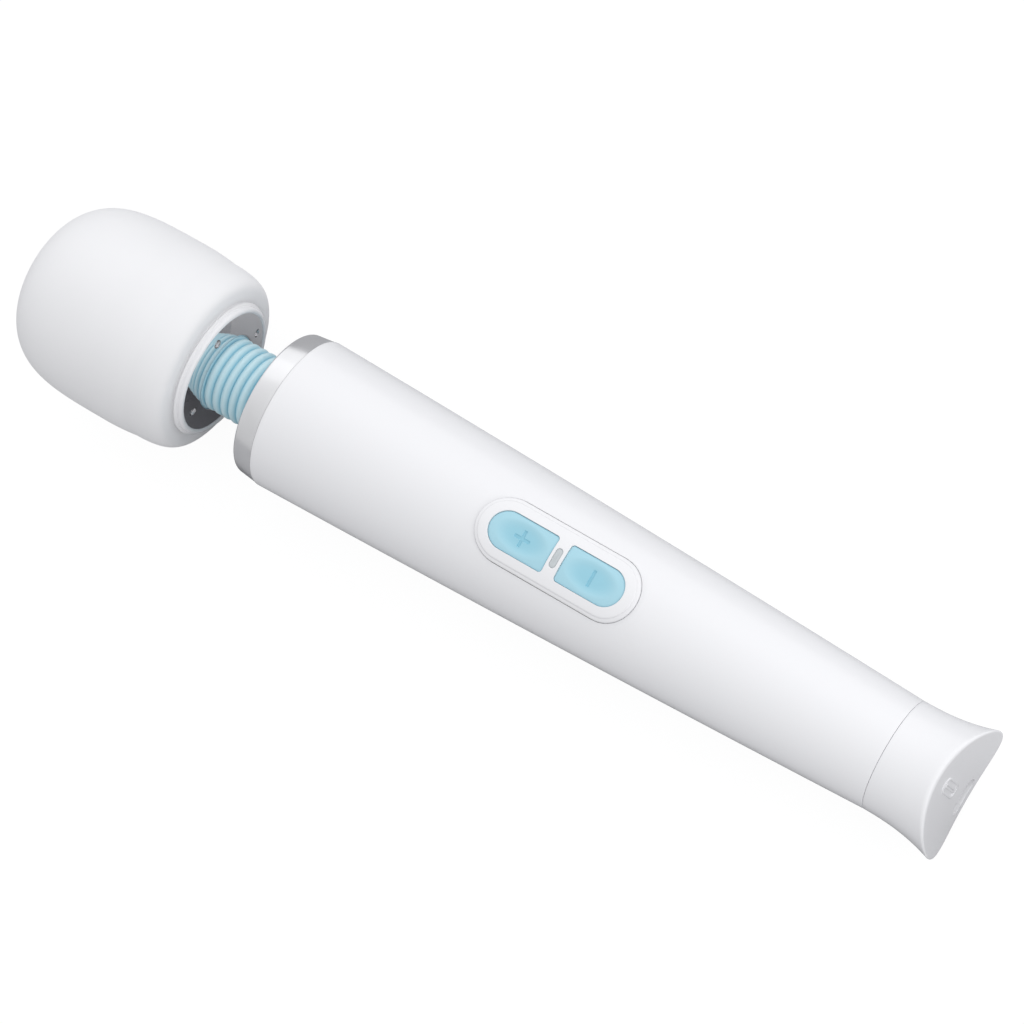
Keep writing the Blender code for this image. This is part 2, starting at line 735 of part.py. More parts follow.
def make_charging_socket():
    """Socket block at the bottom of the inlet, with a round jack hole in its flat face."""
    width, height = SOCKET_SIZE
    outline = stadium(-width / 2, width / 2, height / 2)
    socket = prism("charging_socket", outline, SOCKET_FACE, SOCKET_REAR, "X", PARTS)
    middle = (SOCKET_FACE + SOCKET_REAR) / 2
    place(socket, "chip_black", wand, (middle, 0, INLET_HEIGHT))
    hole = cylinder("jack_hole", JACK_RADIUS, 2 * JACK_DEPTH, SIDES_SMALL, "X")
    cut(socket, as_cutter(hole, (SOCKET_FACE, 0, INLET_HEIGHT)))


# ---------------------------------------------------------------- control panel


def button_tool(name, span, extra):
    """Upright tool with a button's outline, grown by extra."""
    round_end, flat_end = span
    way = 1 if round_end > flat_end else -1
    outline = d_shape(
        round_end + way * extra, flat_end - way * extra, BUTTON_HALF_WIDTH + extra, BUTTON_CORNER + extra
    )
    return as_cutter(prism(name, outline, 8.0, 28.0), (0, 0, 18.0))


def lens_tool(name, extra):
    """Upright tool with the lens's outline, long across the wand, grown by extra."""
    length, width = LENS_SIZE
    half = length / 2 + extra
    reach = width / 2 + extra
    outline = [(LENS_STATION + across, side) for side, across in stadium(-reach, reach, half)]
    return as_cutter(prism(name, outline, 8.0, 28.0), (0, 0, 18.0))


def panel_band(name, below, above):
    """A ring that follows the sleeve over the panel's length, to be trimmed to an outline."""
    head_end, tail_end = PANEL_SPAN
    outline = band_outline(head_end + 6.0, tail_end - 6.0, below, above)
    return turned(name, outline, SIDES_PANEL)


def make_control_panel():
    """Stadium-shaped plate that stands proud of the sleeve, with openings for buttons and lens."""
    panel = place(panel_band("control_panel", SLEEVE_WALL, PANEL_PROUD), "gloss_white_plastic", wand)
    combine(panel, panel_tool("panel_outline", 0.0), "INTERSECT")
    cut(panel, button_tool("plus_opening", PLUS_SPAN, GAP))
    cut(panel, button_tool("minus_opening", MINUS_SPAN, GAP))
    cut(panel, lens_tool("lens_opening", 0.2))
    lens = place(panel_band("led_lens", 4.4, PANEL_PROUD - 0.1), "grey_lens", wand)
    combine(lens, lens_tool("lens_outline", 0.0), "INTERSECT")
    gasket = place(panel_band("panel_gasket", 3.8, -2.5), "dark_rubber", wand)
    combine(gasket, panel_tool("gasket_outline", 2.2), "INTERSECT")
    cut(gasket, panel_tool("gasket_window", -2.6))


def make_button(name, span, station, pivot):
    """Button cap that follows the sleeve, with a round stem down to its switch."""
    button = panel_band(name, BUTTON_DEPTH, BUTTON_PROUD)
    place(button, "blue_silicone", pivot)
    combine(button, button_tool(name + "_outline", span, 0.0), "INTERSECT")
    stem_foot = PLUNGER_TOP + GAP
    stem_top = sleeve_radius(station) - BUTTON_DEPTH / 2
    stem = cylinder(name + "_stem", STEM_RADIUS, stem_top - stem_foot, SIDES_SMALL)
    combine(button, as_cutter(stem, (station, 0, (stem_top + stem_foot) / 2)), "UNION")


def make_switch(name, station, pivot):
    """Tactile switch body on the board, with a plunger that moves with its button."""
    low = (station - 3.1, -3.1, BOARD_TOP + GAP)
    high = (station + 3.1, 3.1, BOARD_TOP + GAP + 3.4)
    body = place(box(name + "_switch", low, high), "chip_black", wand, centre_of(low, high))
    hole = cylinder(name + "_switch_bore", 1.9, 12.0, SIDES_SMALL)
    cut(body, as_cutter(hole, (station, 0, BOARD_TOP + 2.0)))
    plunger = [(PLUNGER_TOP, 0.0), (PLUNGER_TOP, 1.6), (12.4, 1.6), (12.4, 0.0)]
    piece = turned(name + "_plunger", plunger, SIDES_SMALL, closed=False, along="Z")
    place(piece, "grey_lens", pivot, (station, 0, 0))


# ---------------------------------------------------------------- inside the handle


def make_chassis():
    """Half-round trough along the sleeve's lower wall, with two bulkheads for board and cells."""
    front, rear = -20.0, -201.5
    clearance = SLEEVE_WALL + 2 * GAP
    outline = [(s, sleeve_radius(s) - clearance) for s in (front, rear)]
    trough = turned("chassis_trough", outline, SIDES_SMALL, closed=False, sweep=pi)
    place(trough, "inner_plastic", wand)
    wall = trough.modifiers.new("wall", "SOLIDIFY")
    wall.thickness = 1.6 * MM
    wall.offset = -1
    holes = board_screw_holes
    for name, station, radius in (("bulkhead_front", -64.5, 17.4), ("bulkhead_rear", -136.5, 15.0)):
        outline = [(station, 0.0), (station, radius), (station - 3.0, radius), (station - 3.0, 0.0)]
        bulkhead = turned(name, outline, SIDES_MEDIUM, closed=False)
        place(bulkhead, "inner_plastic", wand)
        low, high = (station - 6, -25, BOARD_LOW[2] - GAP), (station + 3, 25, 30)
        top = as_cutter(box(name + "_top", low, high, CUTTERS), centre_of(low, high))
        cell_hole = cylinder(name + "_cell_hole", BATTERY_RADIUS + GAP, 20.0, SIDES_MEDIUM, "X")
        cut(bulkhead, top, as_cutter(cell_hole, (station, 0, BATTERY_HEIGHT)), *holes)


def make_batteries():
    for end, station in BATTERY_STATIONS.items():
        last = station - BATTERY_LENGTH
        outline = [(station, 0.0), (station, BATTERY_RADIUS), (last, BATTERY_RADIUS), (last, 0.0)]
        cell = turned("battery_cell_" + end, outline, SIDES_MEDIUM, closed=False)
        place(cell, "battery_wrap", wand, (0, 0, BATTERY_HEIGHT))
    front = BATTERY_STATIONS["front"]
    rear = BATTERY_STATIONS["rear"] - BATTERY_LENGTH
    middle = (front - BATTERY_LENGTH + BATTERY_STATIONS["rear"]) / 2
    thickness = 0.8
    for name, station in (
        ("front", front + GAP + thickness / 2),
        ("middle", middle),
        ("rear", rear - GAP - thickness / 2),
    ):
        first, last = station + thickness / 2, station - thickness / 2
        outline = [(first, 0.0), (first, 5.0), (last, 5.0), (last, 0.0)]
        tab = turned("battery_tab_" + name, outline, SIDES_SMALL, closed=False)
        place(tab, "spring_steel", wand, (0, 0, BATTERY_HEIGHT))


def make_board_screw_holes():
    holes = []
    for number, (station, side) in enumerate(BOARD_SCREWS, 1):
        hole = cylinder(f"board_screw_hole_{number}", BOARD_HOLE_RADIUS, 12.0, SIDES_TINY)
        holes.append(as_cutter(hole, (station, side, BOARD_TOP)))
    return holes


def make_board():
    """Circuit board with its parts and four screws."""
    board = box("circuit_board", BOARD_LOW, BOARD_HIGH)
    place(board, "board_green", wand, centre_of(BOARD_LOW, BOARD_HIGH))
    cut(board, *board_screw_holes)
    top = BOARD_TOP + GAP
    bottom = BOARD_LOW[2] - GAP
    blocks = {
        "controller_chip": ((-84.0, -3.5, bottom - 1.2), (-77.0, 3.5, bottom)),
        "motor_driver": ((-76.0, -2.5, top), (-71.0, 2.5, top + 1.5)),
        "status_led": ((-106.4, -2.5, top), (-104.4, 2.5, top + 1.0)),
    }
    for name, (low, high) in blocks.items():
        finish = "grey_lens" if name == "status_led" else "chip_black"
        place(box(name, low, high), finish, wand, centre_of(low, high))
    can = [(top + 4.0, 0.0), (top + 4.0, 3.0), (top, 3.0), (top, 0.0)]
    capacitor = turned("capacitor", can, SIDES_SMALL, closed=False, along="Z")
    place(capacitor, "spring_steel", wand, (-132.0, 0, 0))
    seat = BOARD_TOP + GAP / 2
    outline = [(seat + 1.2, 0.0), (seat + 1.2, 1.9), (seat, 1.9), (seat, 1.0), (5.5, 1.0), (5.5, 0.0)]
    for number, (station, side) in enumerate(BOARD_SCREWS, 1):
        screw = turned(f"board_screw_{number}", outline, SIDES_TINY, closed=False, along="Z")
        place(screw, "spring_steel", wand, (station, side, 0))


def make_charge_leads():
    for name, side, finish in (
        ("charge_lead_red", 1.2, "copper_red_wire"),
        ("charge_lead_black", -1.2, "black_wire"),
    ):
        route = [(-217.6, side, -11.6), (-208, side, -9.4), (-195, side, -1.6)]
        route += [(-182, side, 5.6), (-170, side, 8.4), (-155, side, 9.9), (-141.9, side, 10.35)]
        place(tube(name, smooth_route(route, 2), LEAD_RADIUS), finish, wand)


# ---------------------------------------------------------------- assembly


def lay_on_back():
    """Leans the wand so that the head and the tail's lower rim both touch the plane z = 0."""
    flat = cos(pi / SIDES_LARGE)
    head_depth = HEAD_CONTACT[1] * flat
    tail_depth = TAIL_CONTACT[1] * flat
    lean = atan((head_depth - tail_depth) / (HEAD_CONTACT[0] - TAIL_CONTACT[0]))
    wand.rotation_euler = (0, -lean, 0)
    height = head_depth * cos(lean) - HEAD_CONTACT[0] * sin(lean)
    wand.location = (-sum(ENDS) / 2 * cos(lean) * MM, 0, height * MM)


wand = new_pivot("wand_frame")
head_pivot = new_pivot("head_pivot", NECK_PIVOT, parent=wand)
neck_pivot = new_pivot("neck_pivot", NECK_PIVOT, parent=wand)
rotor_pivot = new_pivot("rotor_pivot", NOSE_START, parent=wand)
plus_pivot = new_pivot("plus_pivot", PLUS_STATION, sleeve_radius(PLUS_STATION), parent=wand)
minus_pivot = new_pivot("minus_pivot", MINUS_STATION, sleeve_radius(MINUS_STATION), parent=wand)
plate_screw_holes = make_plate_screw_holes()
board_screw_holes = make_board_screw_holes()
lay_on_back()

make_head_cover()
make_head_housing()
make_bezel()
make_plate()
make_plate_screws()
make_motor()
make_neck()
make_neck_ends()
make_collar()
make_sleeve()
make_tail_cap()
make_charging_socket()
make_control_panel()
make_button("plus_button", PLUS_SPAN, PLUS_STATION, plus_pivot)
make_button("minus_button", MINUS_SPAN, MINUS_STATION, minus_pivot)
make_switch("plus", PLUS_STATION, plus_pivot)
make_switch("minus", MINUS_STATION, minus_pivot)
make_chassis()
make_batteries()
make_board()
make_charge_leads()
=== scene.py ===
"""Looks of the handheld wand massager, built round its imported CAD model.

Shapes are modelled in the wand's own frame, in millimetres: stations run along the wand's axis with
0 at the front edge of the metal collar, positive towards the head, and the buttons face +Z. The
frame's joints say where that frame lies, and WAND takes every piece from it to the row frame.
"""

import json
from math import atan2, cos, pi, radians, sin, sqrt, tan

import bmesh
import bpy
from mathutils import Matrix, Vector


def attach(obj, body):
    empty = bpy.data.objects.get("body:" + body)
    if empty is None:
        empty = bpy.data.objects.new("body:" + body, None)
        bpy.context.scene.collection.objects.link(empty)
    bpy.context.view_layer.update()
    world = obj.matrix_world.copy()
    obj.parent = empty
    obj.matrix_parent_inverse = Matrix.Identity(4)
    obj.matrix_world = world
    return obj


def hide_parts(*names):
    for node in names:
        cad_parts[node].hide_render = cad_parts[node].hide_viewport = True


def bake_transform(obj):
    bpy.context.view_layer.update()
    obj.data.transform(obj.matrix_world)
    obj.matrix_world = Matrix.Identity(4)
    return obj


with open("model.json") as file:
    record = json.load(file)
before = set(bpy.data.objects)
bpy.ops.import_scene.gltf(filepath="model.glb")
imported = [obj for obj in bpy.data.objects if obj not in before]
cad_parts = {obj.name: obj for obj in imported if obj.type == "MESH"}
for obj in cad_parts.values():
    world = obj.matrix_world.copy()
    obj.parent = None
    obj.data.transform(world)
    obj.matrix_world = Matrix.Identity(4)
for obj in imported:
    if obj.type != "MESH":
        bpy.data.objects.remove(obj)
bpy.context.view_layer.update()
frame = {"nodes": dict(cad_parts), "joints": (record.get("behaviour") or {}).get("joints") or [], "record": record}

MM = 0.001

# Flat sides of turned pieces, and of the handle, where two sides meet at the top of the wand.
SIDES_FINE = 160
SIDES_BOOT = 128
SIDES_SMALL = 32
HANDLE_SIDES = 180

# An edge is drawn sharp where its faces meet at more than this angle. Points closer than
# MERGE_DISTANCE are one point, and those closer than ON_PLANE to a cutting plane lie on it.
SHARP_ANGLE = 35.0
MERGE_DISTANCE = 0.0005
ON_PLANE = 0.01

# Head cover: a superellipse nose, a slight taper and a tight rear shoulder.
HEAD_TIP = 86.8
NOSE_START = 46.3
HEAD_RADIUS = 30.46
SHOULDER_START = 35.1
SHOULDER_RADIUS = 29.65
HEAD_REAR = 23.5
HEAD_REAR_RADIUS = 22.2
NOSE_POWERS = (3.94, 3.12)
SHOULDER_POWERS = (2.12, 4.82)
NOSE_STEPS = 56
TAPER_STEPS = 8
SHOULDER_STEPS = 40
COVER_WALL = 3.0

# Rear plate of the head, with its bezel and screws.
PLATE_FRONT = 22.4
PLATE_REAR = 20.5
PLATE_SLOPE = 0.176
PLATE_RADIUS = 19.75
PLATE_HOLE_RADIUS = 12.5
BEZEL_REAR = 21.2
BEZEL_FRONT = 27.0
BEZEL_RADIUS = 20.6
BEZEL_BORE = 19.9
LEDGE_SPAN = (22.7, 23.9)
LEDGE_BORE = 17.9
LIP_REAR = 22.9
LIP_BORE = 20.9
SCREW_TIP = 29.5
SCREW_CIRCLE = 16.1
SCREW_ANGLES = (-20, 70, 160, 250)
SCREW_RADIUS = 1.15
SCREW_SINK = 0.6
SCREW_EDGE = 0.4
SCREW_DOME = 0.5
SHANK_RADIUS = 0.85
SHANK_HOLE_RADIUS = 1.1
RECESS_DEPTH = 0.55
RECESS_REACH = (0.7, 0.16)
SEAT_RADIUS = 1.4
SEAT_DEPTH = 0.7

# Flexible neck: a ribbed boot over a spring, with the motor's two leads inside.
NECK_PIVOT = 10.25
BOOT_SPLIT = 11.05
BOOT_FRONT = 23.9
BOOT_REAR = -4.5
BOOT_CREST = 11.85
BOOT_GROOVE = 10.9
BOOT_BORE = 9.6
BOOT_BAND = 12.05
BAND_GAP = 0.3
BOOT_FRONT_FLANGE = 14.0
BOOT_REAR_FLANGE = 15.0
RIB_PITCH = 2.94
RIB_COUNT = 7
FIRST_RIB = 18.4
RIB_POWER = 0.8
RIB_STEPS = 14
BEND_REAR = -2.9
BEND_FRONT = 22.7
SPRING_RADIUS = 7.4
SPRING_WIRE = 0.8
SPRING_TURNS = 6
STEPS_PER_TURN = 24
SPRING_SPAN = (-3.7, 23.0)
LEAD_RADIUS = 0.6
LEAD_SIDE = 0.9
LEAD_ROUTE = ((-62.1, 10.3), (-50, 9.4), (-40, 7.4), (-30, 3.2), (-22, 0.4))
LEAD_ROUTE += ((-15, 0), (0, 0), (15, 0), (31.2, 0))

# Handle: a tapered, slightly bowed sleeve behind a metal collar.
COLLAR_RADIUS = 23.05
COLLAR_REAR = -7.0
COLLAR_HOLE = 12.6
COLLAR_FACE_REAR = -2.6
COLLAR_SPIGOT_REAR = -15.0
COLLAR_SPIGOT_RADII = (21.4, 21.0)
COLLAR_SPIGOT_BORE = 19.5
SLEEVE_FRONT = -7.3
SLEEVE_REAR = -212.0
SLEEVE_FRONT_RADIUS = 24.15
SLEEVE_REAR_RADIUS = 17.15
SLEEVE_BOW = 0.49
SLEEVE_WALL = 2.2
ROW_PITCH = 2.8
WINDOW_ROW_PITCH = 2.1
WINDOW_STATIONS = (-74.0, -137.0)
WINDOW_COLUMNS = 17

# Control panel, buttons and lens. Spans run from the head's end to the tail's end.
PANEL_SPAN = (-79.1, -131.9)
PANEL_HALF_WIDTH = 9.8
PANEL_PROUD = 1.2
PANEL_SLICES = (0.75, 2.5)
BUTTON_HALF_WIDTH = 5.8
BUTTON_PROUD = 0.9
BUTTON_DEPTH = 4.2
BUTTON_CORNER = 1.0
PLUS_SPAN = (-83.2, -103.4)
MINUS_SPAN = (-127.5, -107.5)
PLUS_STATION = -93.3
MINUS_STATION = -117.5
BUTTON_SLICES = (0.3, 0.4)
DISH_REACH = 5.4
STEM_RADIUS = 2.0
STEM_SIDES = 24
STEM_FOOT = 16.1
DISH_DEPTH = 0.75
DISH_SIZE = (8.9, 4.9)
# The first sets the buttons' own blue, part way to the silicone's darker second colour; DISH_SHADE adds painted
# shade in the dish, and the engraved marks take the full second colour as painted shade.
BUTTON_TONE = 0.6
DISH_SHADE = 0.28
PLUS_MARK = -93.75
MINUS_MARK = -117.0
MARK_DEPTH = 0.25
MARK_SLOPE = 0.16
MARK_ARM = 2.45
MARK_HALF_WIDTH = 0.36
LENS_STATION = -105.4
LENS_SIZE = (2.1, 6.1)
LENS_DEPTH = 4.4

# Gaps between shell parts: tight, as a moulder fits them.
BUTTON_CLEARANCE = 0.05
LENS_CLEARANCE = 0.02
PANEL_CLEARANCE = 0.12
SEAM_CLEARANCE = 0.12

# Tail cap: the sleeve flares to a rim, and a leaning cylinder scoops the end face.
TAIL_FRONT = -212.3
FLARE_LENGTH = 23.4
FLARE_RISE = 3.6
FLARE_POWER = 2.4
SCOOP_RADIUS = 56.3
SCOOP_STATION = -231.0
SCOOP_LEAN = radians(5.5)
SPIGOT_RADIUS = 14.5
SPIGOT_FRONT = -203.0
CAVITY_RADIUS = 12.9
CAVITY_END = -224.0
RIM_ROUNDING = (0.9, 2.0)
INLET_HEIGHT = -13.0
INLET_SIZE = (11.2, 4.6)
INLET_FRONT = -217.0
INLET_FLARE = 0.12
BADGE_PLACE = (0.4, 3.4)
BADGE_SIZE = (13.0, 5.0)
BADGE_LINE = 0.75
BADGE_LIFT = 0.3

# Camera, in the wand's frame, with its lens and sensor in millimetres.
CAMERA_PLACE = (-384.0, 32.0, 917.0)
CAMERA_TARGET = (-79.9, -6.1, 0.0)
CAMERA_UP = (0.46969, -0.86180, 0.19156)
CAMERA_LENS = 117.3
CAMERA_SENSOR = 36.0

# Studio: the sky's strength on the wand's left and right, and the floor's tone as the wand sees it,
# with a painted shadow strip along the wand, and as the camera sees it. Lengths are in metres.
# Each soft box has a direction from the wand, a distance, a width along the wand, a height and a
# radiance, and faces LIGHT_STATION on the wand's axis.
SKY_COLOUR = (0.98, 0.985, 1.0, 1.0)
SKY_LEFT = 0.60
SKY_RIGHT = 1.22
FLOOR_TONE = (0.50, 0.50, 0.51)
# SHADOW_TONE to SHADOW_OUTER paint that shadow strip on the floor: its tone, its middle and where it fades out.
SHADOW_TONE = (0.16, 0.16, 0.17)
SHADOW_MIDDLE = 0.017
SHADOW_INNER = 0.008
SHADOW_OUTER = 0.034
FLOOR_SEEN_TONE = (0.10, 0.10, 0.10)
FLOOR_SEEN_GLOW = 0.93
FLOOR_REACH = 4.0
FLOOR_DROP = 0.0005
LIGHT_STATION = -75.0
LIGHTS = {
    "key": ((0.31, -0.66, 0.69), 0.9, 1.5, 0.52, 0.15),
    "tail": ((-0.9, 0.0, 0.45), 0.7, 0.5, 0.5, 0.8),
}


# -------- the wand's frame

joints = {joint["name"]: joint for joint in frame["joints"]}
along = Vector(joints["motor_spin"]["axis"])
upward = Vector(joints["neck_yaw"]["axis"])
sideways = upward.cross(along)
origin = Vector(joints["neck_pitch"]["pos_m"]) - along * NECK_PIVOT * MM
TURN = Matrix((along, sideways, upward)).transposed().to_4x4()
WAND = Matrix.Translation(origin) @ TURN @ Matrix.Scale(MM, 4)


def to_row(station, side=0.0, height=0.0):
    """A point of the wand's frame, in the row frame."""
    return WAND @ Vector((station, side, height))


# -------- materials


class Nodes:
    """Short names for adding nodes to a material."""

    def __init__(self, material):
        self.tree = material.node_tree
        self.shader = self.tree.nodes["Principled BSDF"]
        self.place = self.add("ShaderNodeTexCoord").outputs["Object"]

    def add(self, kind, **settings):
        """A new node with those settings."""
        node = self.tree.nodes.new(kind)
        for name, value in settings.items():
            setattr(node, name, value)
        return node

    def link(self, source, target):
        """Joins an output to an input."""
        self.tree.links.new(source, target)

    def feed(self, name, source):
        """Joins an output to one of the shader's inputs."""
        self.link(source, self.shader.inputs[name])

    def maths(self, operation, *values):
        """Arithmetic on numbers and other nodes' outputs."""
        node = self.add("ShaderNodeMath", operation=operation)
        for socket, value in zip(node.inputs, values):
            if isinstance(value, float):
                socket.default_value = value
            else:
                self.link(value, socket)
        return node.outputs["Value"]

    def noise(self, size_mm, detail=2.0, stretch=(1, 1, 1)):
        """Noise from 0 to 1, with features of about that size."""
        mapping = self.add("ShaderNodeMapping")
        mapping.inputs["Scale"].default_value = stretch
        self.link(self.place, mapping.inputs["Vector"])
        noise = self.add("ShaderNodeTexNoise")
        noise.inputs["Scale"].default_value = 1 / (size_mm * MM)
        noise.inputs["Detail"].default_value = detail
        self.link(mapping.outputs["Vector"], noise.inputs["Vector"])
        return noise.outputs["Fac"]

    def spread(self, value, low, high, low_in=0.3, high_in=0.7):
        """Maps a noise value to the range from low to high."""
        spread = self.add("ShaderNodeMapRange")
        spread.inputs["From Min"].default_value = low_in
        spread.inputs["From Max"].default_value = high_in
        spread.inputs["To Min"].default_value = low
        spread.inputs["To Max"].default_value = high
        self.link(value, spread.inputs["Value"])
        return spread.outputs["Result"]

    def shade(self):
        """How far each point of a piece is towards its second colour."""
        return self.add("ShaderNodeAttribute", attribute_name="shade").outputs["Fac"]

    def mix(self, factor, first, second):
        """A colour between two, by factor."""
        mix = self.add("ShaderNodeMix", data_type="RGBA")
        self.link(factor, mix.inputs["Factor"])
        for socket, colour in zip((mix.inputs["A"], mix.inputs["B"]), (first, second)):
            if isinstance(colour, tuple):
                socket.default_value = (*colour, 1.0)
            else:
                self.link(colour, socket)
        return mix.outputs["Result"]

    def bump(self, height, depth_mm, strength=1.0, under=None):
        """A relief of that depth, on top of another one if under is given."""
        bump = self.add("ShaderNodeBump")
        bump.inputs["Strength"].default_value = strength
        bump.inputs["Distance"].default_value = depth_mm * MM
        self.link(height, bump.inputs["Height"])
        if under is not None:
            self.link(under, bump.inputs["Normal"])
        return bump.outputs["Normal"]


def shaded(colour, share):
    """A colour darkened to a share of its strength."""
    return tuple(channel * share for channel in colour)


def new_material(name, metallic=0.0, specular=0.5, coat=0.0, coat_roughness=0.1, sheen=0.0):
    """A material of one shader with those surface values."""
    material = bpy.data.materials.new(name)
    material.use_nodes = True
    shader = material.node_tree.nodes["Principled BSDF"]
    shader.inputs["Metallic"].default_value = metallic
    shader.inputs["Specular IOR Level"].default_value = specular
    shader.inputs["Coat Weight"].default_value = coat
    shader.inputs["Coat Roughness"].default_value = coat_roughness
    shader.inputs["Sheen Weight"].default_value = sheen
    return material


def moulded(
    name, colour, roughness, grain_mm=0.5, grain_depth=0.01, mottle=0.97, second=None, **surface
):
    """Moulded plastic or rubber: cloudy colour, uneven gloss, fine grain and faint handling marks."""
    material = new_material(name, **surface)
    nodes = Nodes(material)
    cloud = nodes.spread(nodes.noise(22.0, detail=3.0), 0.0, 1.0)
    scuffs = nodes.spread(nodes.noise(3.5, detail=6.0), 0.0, 1.0, low_in=0.55, high_in=0.75)
    base = nodes.mix(cloud, shaded(colour, mottle), colour)
    # The shade attribute mixes in the second colour: on the blue silicone this is painted shade in the boot's
    # grooves and the buttons' dishes and marks, over the buttons' own deeper tone.
    if second is not None:
        base = nodes.mix(nodes.shade(), base, second)
    nodes.feed("Base Color", base)
    uneven = nodes.spread(nodes.noise(9.0, detail=4.0), roughness * 0.9, roughness * 1.08)
    nodes.feed("Roughness", nodes.maths("ADD", uneven, nodes.spread(scuffs, 0.0, 0.05, 0.0, 1.0)))
    flow = nodes.bump(nodes.noise(14.0, detail=1.0), 0.02, strength=0.5)
    grain = nodes.bump(nodes.noise(grain_mm, detail=3.0), grain_depth, strength=0.6, under=flow)
    nodes.feed("Normal", grain)
    return material


def glossy(name, colour, roughness, **surface):
    """Polished moulding: clean, with only a slow drift of its tone and gloss."""
    material = new_material(name, **surface)
    nodes = Nodes(material)
    drift = nodes.noise(60.0, detail=0.0)
    nodes.feed("Base Color", nodes.mix(drift, shaded(colour, 0.99), colour))
    nodes.feed("Roughness", nodes.spread(drift, roughness * 0.95, roughness * 1.05, 0.0, 1.0))
    return material


def turned_metal(name, colour, roughness, **surface):
    """Metal turned on a lathe: fine rings about the wand's axis and small changes of gloss.

    Pieces with a shade of 1 are polished like a mirror.
    """
    material = new_material(name, metallic=1.0, **surface)
    nodes = Nodes(material)
    rings = nodes.noise(3.0, detail=4.0, stretch=(40.0, 1.0, 1.0))
    smears = nodes.spread(nodes.noise(6.0, detail=4.0), 0.0, 1.0)
    nodes.feed("Base Color", nodes.mix(smears, shaded(colour, 0.96), colour))
    satin = nodes.spread(smears, roughness * 0.9, roughness * 1.1, 0.0, 1.0)
    polish = nodes.spread(nodes.shade(), 1.0, 0.25, 0.0, 1.0)
    nodes.feed("Roughness", nodes.maths("MULTIPLY", satin, polish))
    nodes.feed("Normal", nodes.bump(rings, 0.003, strength=0.4))
    return material


def speckled(name, colour, fleck, roughness, fleck_mm=0.8):
    """Board, cell wrap or ferrite: a base colour with small flecks of a second one."""
    material = new_material(name)
    nodes = Nodes(material)
    cells = nodes.add("ShaderNodeTexVoronoi")
    cells.inputs["Scale"].default_value = 1 / (fleck_mm * MM)
    nodes.link(nodes.place, cells.inputs["Vector"])
    edge = nodes.spread(cells.outputs["Distance"], 1.0, 0.0, 0.1, 0.35)
    nodes.feed("Base Color", nodes.mix(edge, colour, fleck))
    nodes.feed("Roughness", nodes.spread(nodes.noise(4.0), roughness * 0.85, roughness * 1.15))
    nodes.feed("Normal", nodes.bump(edge, 0.02, strength=0.4))
    return material


def make_materials():
    """One material for each slot of the record."""
    return {
        "soft_white_silicone": moulded(
            "soft_white_silicone", (0.90, 0.90, 0.91), 0.58, 0.35, 0.004, 0.985, specular=0.35
        ),
        "gloss_white_plastic": glossy(
            "gloss_white_plastic", (0.90, 0.90, 0.915), 0.26, coat=0.2, coat_roughness=0.22
        ),
        "polished_aluminium": turned_metal("polished_aluminium", (0.82, 0.82, 0.83), 0.22),
        # Its darker second colour is painted shade in the boot's grooves and the buttons' dishes and marks, and
        # also sets the buttons' own deeper blue.
        "blue_silicone": moulded(
            "blue_silicone", (0.64, 0.87, 0.94), 0.40, 0.3, 0.006, 0.97, second=(0.28, 0.60, 0.73)
        ),
        "grey_lens": moulded("grey_lens", (0.60, 0.64, 0.655), 0.30, 0.5, 0.004, 0.95),
        "inner_plastic": moulded("inner_plastic", (0.20, 0.21, 0.22), 0.50, 0.4, 0.02, 0.9),
        "spring_steel": turned_metal("spring_steel", (0.55, 0.55, 0.57), 0.30),
        "dark_rubber": moulded("dark_rubber", (0.03, 0.03, 0.03), 0.75, 0.3, 0.03, 0.8, sheen=0.1),
        "brass": turned_metal("brass", (0.70, 0.52, 0.22), 0.28),
        "red_wire": moulded("red_wire", (0.45, 0.03, 0.02), 0.42, 0.4, 0.006, 0.9),
        "black_wire": moulded("black_wire", (0.02, 0.02, 0.02), 0.42, 0.4, 0.006, 0.8),
        "board_green": speckled("board_green", (0.02, 0.16, 0.07), (0.05, 0.26, 0.12), 0.42),
        "chip_black": moulded("chip_black", (0.022, 0.022, 0.024), 0.48, 0.25, 0.01, 0.85),
        "battery_wrap": speckled("battery_wrap", (0.05, 0.12, 0.35), (0.07, 0.16, 0.42), 0.32, 2.0),
        "ferrite_grey": speckled("ferrite_grey", (0.09, 0.09, 0.10), (0.14, 0.14, 0.15), 0.6, 0.4),
    }


materials = make_materials()


# -------- outlines


def rounded(corners, closed=True, steps=6):
    """Outline whose corners are arcs. Each corner is a station, a radius and the arc's radius."""
    longest = 0.48
    points = []
    count = len(corners)
    for i, (station, radius, fillet) in enumerate(corners):
        corner = Vector((station, radius))
        if fillet == 0 or (not closed and i in (0, count - 1)):
            points.append((station, radius))
            continue
        before = Vector(corners[i - 1][:2]) - corner
        after = Vector(corners[(i + 1) % count][:2]) - corner
        half = before.angle(after) / 2
        reach = min(fillet / tan(half), longest * before.length, longest * after.length)
        middle = (before.normalized() + after.normalized()).normalized()
        centre = corner + middle * (reach / cos(half))
        start = corner + before.normalized() * reach - centre
        end = corner + after.normalized() * reach - centre
        for k in range(steps + 1):
            points.append(tuple(centre + start.slerp(end, k / steps)))
    return points


def superellipse(start, reach, base, rise, powers, steps):
    """Stations and radii of a quarter superellipse, from its widest point to its end."""
    points = []
    for i in range(steps + 1):
        turn = pi / 2 * i / steps
        station = start + reach * sin(turn) ** (2 / powers[0])
        points.append((station, base + rise * max(cos(turn), 0.0) ** (2 / powers[1])))
    return points


